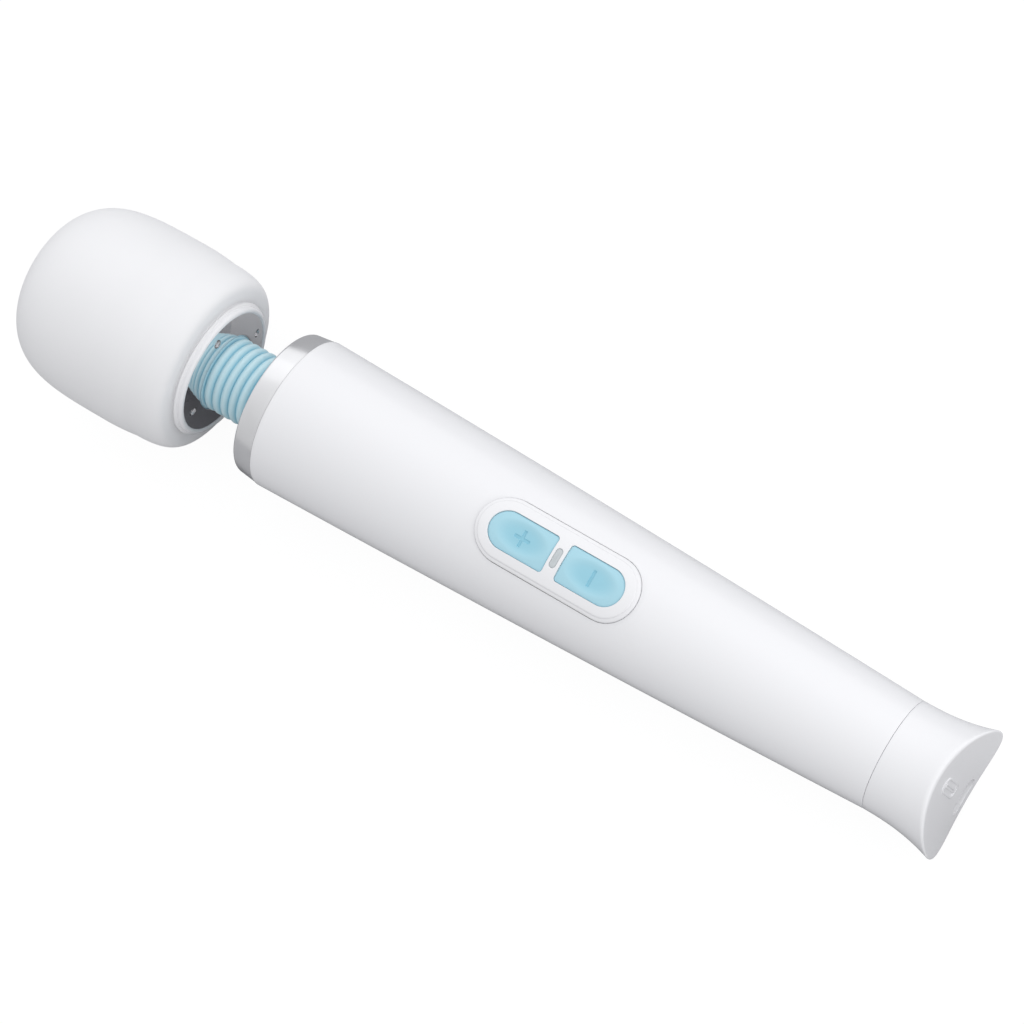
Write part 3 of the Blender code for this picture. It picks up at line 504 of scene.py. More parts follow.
def head_outline(inset, rear, rear_radius):
    """Outline of the head cover from its tip to its rear, moved inwards by inset."""
    tip = HEAD_TIP - inset
    widest = HEAD_RADIUS - inset
    nose = superellipse(NOSE_START, tip - NOSE_START, 0, widest, NOSE_POWERS, NOSE_STEPS)
    points = list(reversed(nose))
    points[0] = (tip, 0.0)
    for i in range(1, TAPER_STEPS):
        share = i / TAPER_STEPS
        station = NOSE_START + (SHOULDER_START - NOSE_START) * share
        points.append((station, widest - (HEAD_RADIUS - SHOULDER_RADIUS) * share**2))
    reach = rear - SHOULDER_START
    rise = SHOULDER_RADIUS - inset - rear_radius
    points += superellipse(SHOULDER_START, reach, rear_radius, rise, SHOULDER_POWERS, SHOULDER_STEPS)
    return points


def sleeve_radius(station):
    """Outer radius of the handle between its collar and its tail."""
    share = (SLEEVE_FRONT - station) / (SLEEVE_FRONT - SLEEVE_REAR)
    straight = SLEEVE_FRONT_RADIUS + (SLEEVE_REAR_RADIUS - SLEEVE_FRONT_RADIUS) * share
    return straight + 4 * SLEEVE_BOW * share * (1 - share)


def on_sleeve(station, side, lift=0.0):
    """A point of the panel's area, lifted above the sleeve's surface."""
    radius = sleeve_radius(station) + lift
    return Vector((station, side, sqrt(radius**2 - side**2)))


def stadium(first, last, half_width, arc_steps=28, side_steps=16):
    """Plan outline of a slot with round ends between two stations."""
    low, high = sorted((first, last))
    centres = (high - half_width, low + half_width)
    points = []
    for way, centre, other in ((1, centres[0], centres[1]), (-1, centres[1], centres[0])):
        for i in range(arc_steps):
            turn = -pi / 2 + pi * i / arc_steps
            points.append((centre + way * half_width * cos(turn), way * half_width * sin(turn)))
        for i in range(side_steps):
            share = i / side_steps
            points.append((centre + (other - centre) * share, way * half_width))
    return points


def d_shape(span, grow=0.0, arc_steps=32, corner_steps=5, side_steps=8):
    """Plan outline of a button, grown by grow: a half circle at one end, small corners at the other."""
    way = 1 if span[0] > span[1] else -1
    half_width = BUTTON_HALF_WIDTH + grow
    corner = max(BUTTON_CORNER + grow, 0.2)
    centre = span[0] - way * BUTTON_HALF_WIDTH
    flat = span[1] - way * grow
    points = []
    for i in range(arc_steps + 1):
        turn = -pi / 2 + pi * i / arc_steps
        points.append((centre + way * half_width * cos(turn), half_width * sin(turn)))
    knee = flat + way * corner
    for i in range(1, side_steps):
        points.append((centre + (knee - centre) * i / side_steps, half_width))
    for side, start in ((1, pi / 2), (-1, pi)):
        for i in range(corner_steps + 1):
            turn = start + pi / 2 * i / corner_steps
            across = side * (half_width - corner) + corner * sin(turn)
            points.append((flat + way * (corner + corner * cos(turn)), across))
    for i in range(1, side_steps):
        points.append((knee + (centre - knee) * i / side_steps, -half_width))
    return points


def lens_outline(grow=0.0):
    """Plan outline of the lens, long across the wand."""
    length, width = LENS_SIZE
    reach = width / 2 + grow
    slot = stadium(-reach, reach, length / 2 + grow, arc_steps=12, side_steps=4)
    return [(LENS_STATION - across, side) for side, across in slot]


# -------- mesh makers


def turned(outline, sides=SIDES_FINE, closed=True):
    """Solid of revolution about the wand's axis from stations and radii."""
    solid = bmesh.new()
    corners = [solid.verts.new((station, 0, radius)) for station, radius in outline]
    pairs = list(zip(corners, corners[1:]))
    if closed:
        pairs.append((corners[-1], corners[0]))
    edges = [solid.edges.new(pair) for pair in pairs]
    bmesh.ops.spin(
        solid, geom=corners + edges, axis=(1, 0, 0), angle=2 * pi, steps=sides, use_merge=True
    )
    bmesh.ops.remove_doubles(solid, verts=solid.verts, dist=MERGE_DISTANCE)
    return solid


def ring_faces(solid, first, second):
    """Quads between two rows of vertices, and a fan where one row is a single vertex."""
    count = max(len(first), len(second))
    for i in range(count):
        j = (i + 1) % count
        near = [first[i % len(first)], first[j % len(first)]]
        far = [second[j % len(second)], second[i % len(second)]]
        solid.faces.new(list(dict.fromkeys(near + far)))


def loft(solid, loops):
    """Rows of vertices on loops of points, joined with faces. Returns the first and the last row."""
    rows = [[solid.verts.new(point) for point in loop] for loop in loops]
    for first, second in zip(rows, rows[1:]):
        ring_faces(solid, first, second)
    return rows[0], rows[-1]


def capped_loft(loops):
    """A solid through loops of points, with a flat face at each end."""
    solid = bmesh.new()
    for end in loft(solid, loops):
        solid.faces.new(end)
    return solid


def fill(solid, *rims):
    """Fills the flat area between rims of vertices. The first rim is the outer one."""
    edges = []
    for rim in rims:
        for i, vertex in enumerate(rim):
            edges.append(solid.edges.get((vertex, rim[(i + 1) % len(rim)])))
    bmesh.ops.triangle_fill(solid, use_beauty=True, edges=edges)


def slice_up(solid, axis, places):
    """Cuts every face along planes across an axis, so that the piece can follow a curve."""
    normal = [0, 0, 0]
    normal[axis] = 1
    for place in places:
        point = [0, 0, 0]
        point[axis] = place
        everything = solid.verts[:] + solid.edges[:] + solid.faces[:]
        bmesh.ops.bisect_plane(solid, geom=everything, dist=ON_PLANE, plane_co=point, plane_no=normal)


def steps_between(low, high, pitch):
    """Evenly spaced places from low to high, about a pitch apart."""
    count = max(1, round((high - low) / pitch))
    return [low + (high - low) * i / count for i in range(count + 1)]


def add_shade(solid, shade_at):
    """Notes on each vertex how far its colour goes towards the material's second one."""
    layer = solid.verts.layers.float.new("shade")
    for vertex in solid.verts:
        vertex[layer] = min(max(shade_at(vertex.co), 0.0), 1.0)


def finished(name, solid, material, sharp=SHARP_ANGLE):
    """Turns a solid in the wand's millimetres into a smooth-shaded object in the row frame."""
    bmesh.ops.recalc_face_normals(solid, faces=solid.faces)
    mesh = bpy.data.meshes.new(name)
    solid.to_mesh(mesh)
    solid.free()
    mesh.transform(WAND)
    mesh.shade_smooth()
    mesh.set_sharp_from_angle(angle=radians(sharp))
    mesh.materials.append(materials[material])
    piece = bpy.data.objects.new(name, mesh)
    bpy.context.scene.collection.objects.link(piece)
    return piece


def cut(piece, solid):
    """Cuts a solid, given in the wand's millimetres, out of a piece for good."""
    tool = finished(piece.name + "_tool", solid, "inner_plastic")
    step = piece.modifiers.new("cut", "BOOLEAN")
    step.object = tool
    step.solver = "EXACT"
    graph = bpy.context.evaluated_depsgraph_get()
    mesh = bpy.data.meshes.new_from_object(piece.evaluated_get(graph))
    piece.modifiers.clear()
    piece.data = mesh
    mesh.shade_smooth()
    mesh.set_sharp_from_angle(angle=radians(SHARP_ANGLE))
    bpy.data.objects.remove(tool)


def smooth_route(points, per_leg=6):
    """Points on a Catmull-Rom curve through the given ones."""
    corners = [Vector(p) for p in points]
    padded = [2 * corners[0] - corners[1], *corners, 2 * corners[-1] - corners[-2]]
    route = []
    for before, start, end, after in zip(padded, padded[1:], padded[2:], padded[3:]):
        for i in range(per_leg):
            share = i / per_leg
            bend = 2 * before - 5 * start + 4 * end - after
            twist = 3 * start - before - 3 * end + after
            route.append((2 * start + (end - before) * share + bend * share**2 + twist * share**3) / 2)
    return [*route, corners[-1]]


def wire(points, radius, sides=10):
    """A round tube with flat ends along a list of points."""
    rings = []
    for i, point in enumerate(points):
        way = points[min(i + 1, len(points) - 1)] - points[max(i - 1, 0)]
        right = way.cross(Vector((0.1, 1.0, 0.2))).normalized()
        up = right.cross(way).normalized()
        turns = [2 * pi * k / sides for k in range(sides)]
        rings.append([point + right * radius * cos(turn) + up * radius * sin(turn) for turn in turns])
    return capped_loft(rings)


# -------- head


def make_head_cover():
    """Soft cover with a small raised lip round the bezel."""
    outer = head_outline(0.0, HEAD_REAR, HEAD_REAR_RADIUS)
    lip = rounded(
        [
            (HEAD_REAR, HEAD_REAR_RADIUS, 0),
            (HEAD_REAR - 0.1, HEAD_REAR_RADIUS - 0.6, 0.8),
            (LIP_REAR, HEAD_REAR_RADIUS - 0.9, 0.4),
            (LIP_REAR, LIP_BORE, 0.2),
            (HEAD_REAR + 0.3, LIP_BORE, 0),
        ],
        closed=False,
    )
    inner = head_outline(COVER_WALL, HEAD_REAR + COVER_WALL, LIP_BORE)
    outline = outer[:-1] + lip + list(reversed(inner))
    cover = finished("head_cover_shell", turned(outline, closed=False), "soft_white_silicone", 50)
    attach(cover, "head")
    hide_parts("head_cover")


def make_bezel():
    """Bead ring round the plate, with the ledge that the plate sits on."""
    ledge_rear, ledge_front = LEDGE_SPAN
    corners = [
        (BEZEL_FRONT, BEZEL_BORE, 0),
        (BEZEL_FRONT, BEZEL_RADIUS, 0),
        (BEZEL_REAR, BEZEL_RADIUS, 0.55),
        (BEZEL_REAR, BEZEL_BORE, 0.42),
        (ledge_rear, BEZEL_BORE, 0.1),
        (ledge_rear, LEDGE_BORE, 0),
        (ledge_front, LEDGE_BORE, 0),
        (ledge_front, BEZEL_BORE, 0),
    ]
    bezel = finished("bezel_ring", turned(rounded(corners)), "gloss_white_plastic")
    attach(bezel, "head")
    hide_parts("head_bezel")


def screw_seats():
    """Side and height of each plate screw, by its angle from the buttons' direction."""
    return [
        (SCREW_CIRCLE * sin(radians(angle)), SCREW_CIRCLE * cos(radians(angle)))
        for angle in SCREW_ANGLES
    ]


def moved(solid, offset):
    """The solid, shifted by an offset."""
    bmesh.ops.translate(solid, vec=offset, verts=solid.verts)
    return solid


def plate_surface(radius):
    """Station of the plate's slightly conical rear face at a radius."""
    return PLATE_REAR + PLATE_SLOPE * (radius - PLATE_HOLE_RADIUS)


def make_plate():
    """Polished conical plate with a sunk seat for each screw."""
    corners = [
        (PLATE_FRONT, PLATE_HOLE_RADIUS, 0),
        (PLATE_FRONT, PLATE_RADIUS, 0),
        (plate_surface(PLATE_RADIUS), PLATE_RADIUS, 0.15),
        (PLATE_REAR, PLATE_HOLE_RADIUS, 0.3),
    ]
    solid = turned(rounded(corners))
    add_shade(solid, lambda point: 1.0)
    plate = finished("rear_plate", solid, "polished_aluminium")
    surface = plate_surface(SCREW_CIRCLE)
    behind = surface - 1.0
    floor = surface + SEAT_DEPTH
    through = PLATE_FRONT + 0.4
    seat = [
        (behind, 0.0),
        (behind, SEAT_RADIUS),
        (floor, SEAT_RADIUS),
        (floor, SHANK_HOLE_RADIUS),
        (through, SHANK_HOLE_RADIUS),
        (through, 0.0),
    ]
    for side, height in screw_seats():
        cut(plate, moved(turned(seat, SIDES_SMALL, closed=False), (0, side, height)))
    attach(plate, "head")
    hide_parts("head_plate")


def make_plate_screws():
    """Round-headed screws sunk in the plate, each with a cross recess."""
    seat = plate_surface(SCREW_CIRCLE) + SCREW_SINK
    edge = seat - SCREW_EDGE
    outline = [(SCREW_TIP, 0.0), (SCREW_TIP, SHANK_RADIUS), (seat, SHANK_RADIUS), (seat, SCREW_RADIUS)]
    outline.append((edge, SCREW_RADIUS))
    dome_steps = 6
    for i in range(1, dome_steps + 1):
        turn = pi / 2 * i / dome_steps
        outline.append((edge - SCREW_DOME * sin(turn), SCREW_RADIUS * cos(turn)))
    for number, (side, height) in enumerate(screw_seats(), 1):
        head = moved(turned(outline, SIDES_SMALL, closed=False), (0, side, height))
        screw = finished(f"screw_{number}", head, "polished_aluminium")
        for reach in (RECESS_REACH, RECESS_REACH[::-1]):
            slot = bmesh.new()
            bmesh.ops.create_cube(slot, size=2.0)
            bmesh.ops.scale(slot, vec=(RECESS_DEPTH, *reach), verts=slot.verts)
            cut(screw, moved(slot, (edge - 0.6, side, height)))
        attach(screw, "head")
        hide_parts(f"plate_screw_{number}")


# -------- neck


def rib_outline(first, last):
    """Radii of the boot's round ribs and sharp grooves between two stations, from head to tail."""
    points = []
    for rib in range(RIB_COUNT):
        centre = FIRST_RIB - RIB_PITCH * rib
        for i in range(RIB_STEPS):
            away = 1 - 2 * i / RIB_STEPS
            station = centre + away * RIB_PITCH / 2
            swell = max(0.0, cos(pi / 2 * away)) ** RIB_POWER
            if last - 0.001 <= station <= first + 0.001:
                points.append((station, BOOT_GROOVE + (BOOT_CREST - BOOT_GROOVE) * swell))
    return points


def groove_shade(point):
    """Painted shade of the boot: 0 on its ribs and 1 at the bottom of its grooves."""
    return (BOOT_CREST - Vector(point.yz).length) / (BOOT_CREST - BOOT_GROOVE)


def make_boot():
    """Ribbed boot in two halves that meet in a groove beside the neck's pivot."""
    band_end = FIRST_RIB + RIB_PITCH / 2 + BAND_GAP
    front = [(BOOT_FRONT, BOOT_BORE), (BOOT_FRONT, BOOT_FRONT_FLANGE)]
    front += [(BEND_FRONT, BOOT_FRONT_FLANGE), (BEND_FRONT, BOOT_BAND)]
    front += [(band_end + 0.2, BOOT_BAND), (band_end + 0.05, BOOT_BAND - 0.06), (band_end, BOOT_BAND - 0.2)]
    front += rib_outline(FIRST_RIB + RIB_PITCH, BOOT_SPLIT + 0.01)
    front += [(BOOT_SPLIT, BOOT_GROOVE), (BOOT_SPLIT, BOOT_BORE)]
    rear = rib_outline(BOOT_SPLIT, BEND_REAR)
    rear += [(FIRST_RIB - RIB_PITCH * (RIB_COUNT - 0.5), BOOT_GROOVE), (BEND_REAR, BOOT_GROOVE)]
    rear += [(BEND_REAR, BOOT_REAR_FLANGE), (BOOT_REAR, BOOT_REAR_FLANGE)]
    rear += [(BOOT_REAR, BOOT_BORE), (BOOT_SPLIT, BOOT_BORE)]
    for name, outline, bodies, start, end in (
        ("boot_front", front, ("neck", "head"), BOOT_SPLIT + 0.1, BEND_FRONT),
        ("boot_rear", rear, ("handle", "neck"), BEND_REAR, BOOT_SPLIT - 0.1),
    ):
        solid = turned(outline, SIDES_BOOT)
        # The grooves darken towards the silicone's second colour: painted shade.
        add_shade(solid, groove_shade)
        half = finished(name, solid, "blue_silicone", 45)
        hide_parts("neck_boot")
        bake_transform(half)


def bend_in_two(name, node, points, radius, material):
    """A wire through the neck, as a rear half and a front half that meet at the pivot."""
    nearest = min(range(len(points)), key=lambda i: abs(points[i].x - NECK_PIVOT))
    for half, stretch, bodies, start, end in (
        ("rear", points[: nearest + 1], ("handle", "neck"), BEND_REAR, NECK_PIVOT),
        ("front", points[nearest:], ("neck", "head"), NECK_PIVOT, BEND_FRONT),
    ):
        piece = finished(f"{name}_{half}", wire(stretch, radius), material)
        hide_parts(node)
        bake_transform(piece)


def make_neck_inside():
    """Coil spring and motor leads inside the boot."""
    steps = SPRING_TURNS * STEPS_PER_TURN
    coil = []
    for i in range(steps + 1):
        turn = 2 * pi * SPRING_TURNS * i / steps
        station = SPRING_SPAN[0] + (SPRING_SPAN[1] - SPRING_SPAN[0]) * i / steps
        coil.append(Vector((station, SPRING_RADIUS * cos(turn), SPRING_RADIUS * sin(turn))))
    bend_in_two("spring", "neck_spring", coil, SPRING_WIRE, "spring_steel")
    for name, side in (("red", LEAD_SIDE), ("black", -LEAD_SIDE)):
        route = smooth_route([(station, side, height) for station, height in LEAD_ROUTE])
        bend_in_two(f"lead_{name}", f"motor_lead_{name}", route, LEAD_RADIUS, f"{name}_wire")


# -------- handle shell


def make_collar():
    """Polished collar with a rounded front edge and a spigot inside the sleeve."""
    corners = [
        (0.0, COLLAR_HOLE, 0.4),
        (0.0, COLLAR_RADIUS, 0.9),
        (COLLAR_REAR, SLEEVE_FRONT_RADIUS - 0.15, 0),
        (COLLAR_REAR, COLLAR_SPIGOT_RADII[0], 0),
        (COLLAR_SPIGOT_REAR, COLLAR_SPIGOT_RADII[1], 0),
        (COLLAR_SPIGOT_REAR, COLLAR_SPIGOT_BORE, 0),
        (COLLAR_FACE_REAR, COLLAR_SPIGOT_BORE, 0),
        (COLLAR_FACE_REAR, COLLAR_HOLE, 0),
    ]
    collar = finished("collar", turned(rounded(corners)), "polished_aluminium", 30)
    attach(collar, "handle")
    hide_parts("handle_collar")


def window_path(first_row, last_row):
    """Rows and columns of the vertices round the sleeve's panel window, in order."""
    path = [(first_row, column) for column in range(-WINDOW_COLUMNS, WINDOW_COLUMNS)]
    path += [(row, WINDOW_COLUMNS) for row in range(first_row, last_row)]
    path += [(last_row, column) for column in range(WINDOW_COLUMNS, -WINDOW_COLUMNS, -1)]
    path += [(row, -WINDOW_COLUMNS) for row in range(last_row, first_row, -1)]
    return path


def towards_panel(station, side, extra, share):
    """A plan point moved towards the panel's outline, grown by extra, by a share of the way."""
    ends = sorted(PANEL_SPAN)
    spine = min(max(station, ends[0] + PANEL_HALF_WIDTH), ends[1] - PANEL_HALF_WIDTH)
    away = Vector((station - spine, side))
    reach = PANEL_HALF_WIDTH + extra
    target = Vector((spine, 0)) + away.normalized() * reach
    return Vector((station, side)).lerp(target, share)


def sleeve_skin(solid, rows, first_row, last_row, depth, rim):
    """The sleeve's surface at a depth, with a window to the panel. Returns its ends and its window."""
    grid = []
    for station, sink in rows:
        radius = sleeve_radius(station) - depth - sink
        turns = [2 * pi * column / HANDLE_SIDES for column in range(HANDLE_SIDES)]
        places = [(station, radius * sin(turn), radius * cos(turn)) for turn in turns]
        grid.append([solid.verts.new(place) for place in places])
    for row in range(len(rows) - 1):
        for column in range(-HANDLE_SIDES // 2, HANDLE_SIDES // 2):
            inside = first_row <= row < last_row and -WINDOW_COLUMNS <= column < WINDOW_COLUMNS
            if not inside:
                near, far = grid[row], grid[row + 1]
                beside = (column + 1) % HANDLE_SIDES
                solid.faces.new((near[column], near[beside], far[beside], far[column]))
    edge = [grid[row][column] for row, column in window_path(first_row, last_row)]
    rings = [edge]
    for share, extra, lift in rim:
        ring = []
        for vertex in edge:
            radius = sleeve_radius(vertex.co.x)
            side = radius * sin(atan2(vertex.co.y, vertex.co.z))
            station, across = towards_panel(vertex.co.x, side, extra, share)
            ring.append(solid.verts.new(on_sleeve(station, across, lift - depth)))
        ring_faces(solid, rings[-1], ring)
        rings.append(ring)
    return grid[0], grid[-1], rings[-1]


def make_sleeve():
    """One-piece glossy sleeve whose window takes the control panel."""
    front = COLLAR_REAR - SEAM_CLEARANCE
    front_edge = [(front, 0.05), (front - 0.015, 0.015), (front - 0.05, 0.0)]
    rear = TAIL_FRONT + SEAM_CLEARANCE
    rear_edge = [(rear + 0.12, 0.0), (rear + 0.03, 0.03), (rear, 0.12)]
    before = steps_between(SLEEVE_FRONT - 0.6, WINDOW_STATIONS[0], -ROW_PITCH)[:-1]
    beside = steps_between(*WINDOW_STATIONS, -WINDOW_ROW_PITCH)
    behind = steps_between(WINDOW_STATIONS[1], SLEEVE_REAR + 0.8, -ROW_PITCH)[1:]
    middle = [(station, 0.0) for station in before + beside + behind]
    rows = front_edge + middle + rear_edge
    first_row = len(front_edge) + len(before)
    last_row = first_row + len(beside) - 1
    edge = PANEL_CLEARANCE
    outer_rim = [(0.35, edge + 0.1, 0.0), (0.7, edge + 0.1, 0.0), (1.0, edge + 0.1, 0.0)]
    outer_rim += [(1.0, edge + 0.03, -0.03), (1.0, edge, -0.1)]
    inner_rim = [(0.5, edge, 0.0), (1.0, edge, 0.0)]
    solid = bmesh.new()
    outer = sleeve_skin(solid, rows, first_row, last_row, 0.0, outer_rim)
    inner = sleeve_skin(solid, rows, first_row, last_row, SLEEVE_WALL, inner_rim)
    for outside, inside in zip(outer, inner):
        ring_faces(solid, outside, inside)
    sleeve = finished("sleeve", solid, "gloss_white_plastic", 40)
    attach(sleeve, "handle")
    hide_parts("handle_sleeve")


def scoop_station(side, height):
    """Station of the scooped end face at a place across the wand."""
    centre = SCOOP_STATION - SCOOP_RADIUS / cos(SCOOP_LEAN)
    return centre + (sqrt(SCOOP_RADIUS**2 - side**2) + height * sin(SCOOP_LEAN)) / cos(SCOOP_LEAN)


def flare_radius(station):
    """Outer radius of the tail cap, where it flares out from the sleeve's rear end."""
    share = max(0.0, (TAIL_FRONT - station) / FLARE_LENGTH)
    return SLEEVE_REAR_RADIUS + FLARE_RISE * share**FLARE_POWER


def rim_station(turn):
    """Station where the flare meets the scooped face, at an angle from the buttons' direction."""
    station = SCOOP_STATION
    rounds = 12
    for _ in range(rounds):
        radius = flare_radius(station)
        station = scoop_station(radius * sin(turn), radius * cos(turn))
    return station


def rim_rounding(turn):
    """Rounding of the rim: wide on the buttons' side and opposite, tight at the two corners."""
    return RIM_ROUNDING[0] + (RIM_ROUNDING[1] - RIM_ROUNDING[0]) * cos(turn) ** 2


def tail_profile(turn):
    """Outline of the tail cap at one angle, from its cavity round to the middle of its end face."""
    inside = [(CAVITY_END, 0.0), (CAVITY_END, CAVITY_RADIUS), (SPIGOT_FRONT, CAVITY_RADIUS)]
    inside += [(SPIGOT_FRONT, SPIGOT_RADIUS), (TAIL_FRONT, SPIGOT_RADIUS)]
    edge = [(TAIL_FRONT, -0.12), (TAIL_FRONT - 0.03, -0.03), (TAIL_FRONT - 0.12, 0.0)]
    outline = inside + [(station, flare_radius(station) + lift) for station, lift in edge]
    rim = rim_station(turn)
    rim_radius = flare_radius(rim)
    flare_end = rim + rim_rounding(turn)
    flare_steps = 20
    for i in range(1, flare_steps):
        station = TAIL_FRONT + (flare_end - TAIL_FRONT) * i / flare_steps
        outline.append((station, flare_radius(station)))
    face_start = rim_radius - rim_rounding(turn)
    start = Vector((flare_end, flare_radius(flare_end)))
    corner = Vector((rim, rim_radius))
    end = Vector((scoop_station(face_start * sin(turn), face_start * cos(turn)), face_start))
    rim_steps = 12
    for i in range(rim_steps + 1):
        share = i / rim_steps
        outline.append(tuple(start.lerp(corner, share).lerp(corner.lerp(end, share), share)))
    face_steps = 14
    for i in range(1, face_steps + 1):
        radius = face_start * (1 - i / face_steps)
        outline.append((scoop_station(radius * sin(turn), radius * cos(turn)), radius))
    return outline


def make_tail_cap():
    """Flared cap with a soft rim, a scooped end face and the charging inlet's slot."""
    turns = [2 * pi * column / HANDLE_SIDES for column in range(HANDLE_SIDES)]
    profiles = [tail_profile(turn) for turn in turns]
    loops = []
    for points in zip(*profiles):
        loop = [(station, r * sin(turn), r * cos(turn)) for (station, r), turn in zip(points, turns)]
        loops.append(loop if points[0][1] > 0 else loop[:1])
    solid = bmesh.new()
    loft(solid, loops)
    cap = finished("tail_end", solid, "gloss_white_plastic", 40)
    cut(cap, slot_solid())
    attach(cap, "handle")
    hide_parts("tail_cap")


def slot_solid():
    """A stadium-shaped bar along the wand, with a widening mouth where it meets the end face."""
    width, tall = INLET_SIZE
    mouth = scoop_station(0, INLET_HEIGHT)
    loops = []
    for station, grow in (
        (mouth - 10.0, INLET_FLARE),
        (mouth - 0.3, INLET_FLARE),
        (mouth + 0.3, 0.0),
        (INLET_FRONT, 0.0),
    ):
        outline = stadium(-width / 2 - grow, width / 2 + grow, tall / 2 + grow, 16, 4)
        loops.append([(station, side, INLET_HEIGHT + rise) for side, rise in outline])
    return capped_loft(loops)


def on_scoop(side, height, lift):
    """A point above the scooped end face."""
    return (scoop_station(side, height) - lift, side, height)


def make_badge():
    """Small generic raised badge on the scooped face: a rounded frame round a bar."""
    width, tall = BADGE_SIZE
    middle_side, middle_height = BADGE_PLACE
    solid = bmesh.new()
    for half_length, half_width in ((width / 2, tall / 2), (width / 2 - 1.4, BADGE_LINE)):
        inner = max(half_width - BADGE_LINE, 0.05)
        step = half_width - inner
        ring = ((0.0, -0.3), (0.0, BADGE_LIFT - 0.08), (0.12, BADGE_LIFT))
        ring += ((step - 0.12, BADGE_LIFT), (step, BADGE_LIFT - 0.08), (step, -0.3))
        rows = []
        for inset, lift in ring:
            outline = stadium(-half_length + inset, half_length - inset, half_width - inset, 12, 8)
            points = [on_scoop(middle_side + rise, middle_height + run, lift) for run, rise in outline]
            rows.append([solid.verts.new(point) for point in points])
        for first, second in zip(rows, [*rows[1:], rows[0]]):
            ring_faces(solid, first, second)
    badge = finished("tail_badge", solid, "gloss_white_plastic", 40)
    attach(badge, "handle")


# -------- control panel


def raised(outline, lift):
    """Points of a plan outline at a lift above the sleeve, before they are wrapped on it."""
    return [(station, side, lift) for station, side in outline]


def wrap(solid):
    """Takes a flat layout, whose Z is the lift above the sleeve, to the sleeve's curve."""
    for vertex in solid.verts:
        vertex.co = on_sleeve(*vertex.co)


def make_control_panel():
    """Plate with a stepped rim, and rounded openings for the two buttons and the lens."""
    low, high = -SLEEVE_WALL, PANEL_PROUD
    rim = [(0, low), (0, 0.35), (0.05, 0.55), (0.2, 0.70), (0.42, 0.76), (0.85, 0.78)]
    rim += [(0.98, 0.82), (1.04, 0.95), (1.10, 1.08), (1.22, 1.17), (1.42, high)]
    head_end, tail_end = PANEL_SPAN
    solid = bmesh.new()
    loops = []
    for inset, lift in rim:
        outline = stadium(head_end - inset, tail_end + inset, PANEL_HALF_WIDTH - inset)
        loops.append(raised(outline, lift))
    bottoms, tops = [], []
    bottom, top = loft(solid, loops)
    bottoms.append(bottom)
    tops.append(top)
    edge = [(0.14, high), (0.05, high - 0.03), (0.0, high - 0.12), (0.0, low)]
    for make_outline, clearance in (
        (lambda grow: d_shape(PLUS_SPAN, grow), BUTTON_CLEARANCE),
        (lambda grow: d_shape(MINUS_SPAN, grow), BUTTON_CLEARANCE),
        (lens_outline, LENS_CLEARANCE),
    ):
        hole = [raised(make_outline(clearance + grow), lift) for grow, lift in edge]
        top, bottom = loft(solid, hole)
        tops.append(top)
        bottoms.append(bottom)
    fill(solid, *tops)
    fill(solid, *bottoms)
    across, lengthwise = PANEL_SLICES
    slice_up(solid, 1, steps_between(-9.0, 9.0, across))
    slice_up(solid, 0, steps_between(tail_end + 1.5, head_end - 1.5, lengthwise))
    wrap(solid)
    panel = finished("panel", solid, "gloss_white_plastic", 40)
    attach(panel, "handle")
    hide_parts("control_panel")


def make_lens():
    """Slightly domed lens over the status light."""
    profile = [(0, -LENS_DEPTH), (0, 0.75), (0.08, 0.92), (0.25, 1.02), (0.5, 1.08), (0.8, 1.1)]
    solid = capped_loft([raised(lens_outline(-inset), lift) for inset, lift in profile])
    wrap(solid)
    lens = finished("lens", solid, "grey_lens", 40)
    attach(lens, "handle")
    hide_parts("led_lens")


def groove(along_bar, across_bar):
    """Depth from 0 to 1 of a straight engraved bar with sloping sides."""
    inside = min(MARK_ARM - abs(along_bar), MARK_HALF_WIDTH - abs(across_bar))
    return min(max(inside / MARK_SLOPE + 1, 0.0), 1.0)


def button_top(station, side, centre, marks):
    """Depth from 0 to 1 of a button's shallow dish at a place, and of its engraved mark."""
    ahead = station - centre
    share = max(0.0, 1 - (ahead / DISH_SIZE[0]) ** 2 - (side / DISH_SIZE[1]) ** 2)
    mark = max(groove(ahead, side) if "along" in marks else 0.0, groove(side, ahead))
    return share**2 * (3 - 2 * share), mark


def mark_lines(centre):
    """Where the slopes of the engraved bars start and end, on either side of a centre."""
    offsets = [MARK_HALF_WIDTH, MARK_HALF_WIDTH + MARK_SLOPE, MARK_ARM, MARK_ARM + MARK_SLOPE]
    return [centre + way * offset for way in (-1, 1) for offset in offsets]


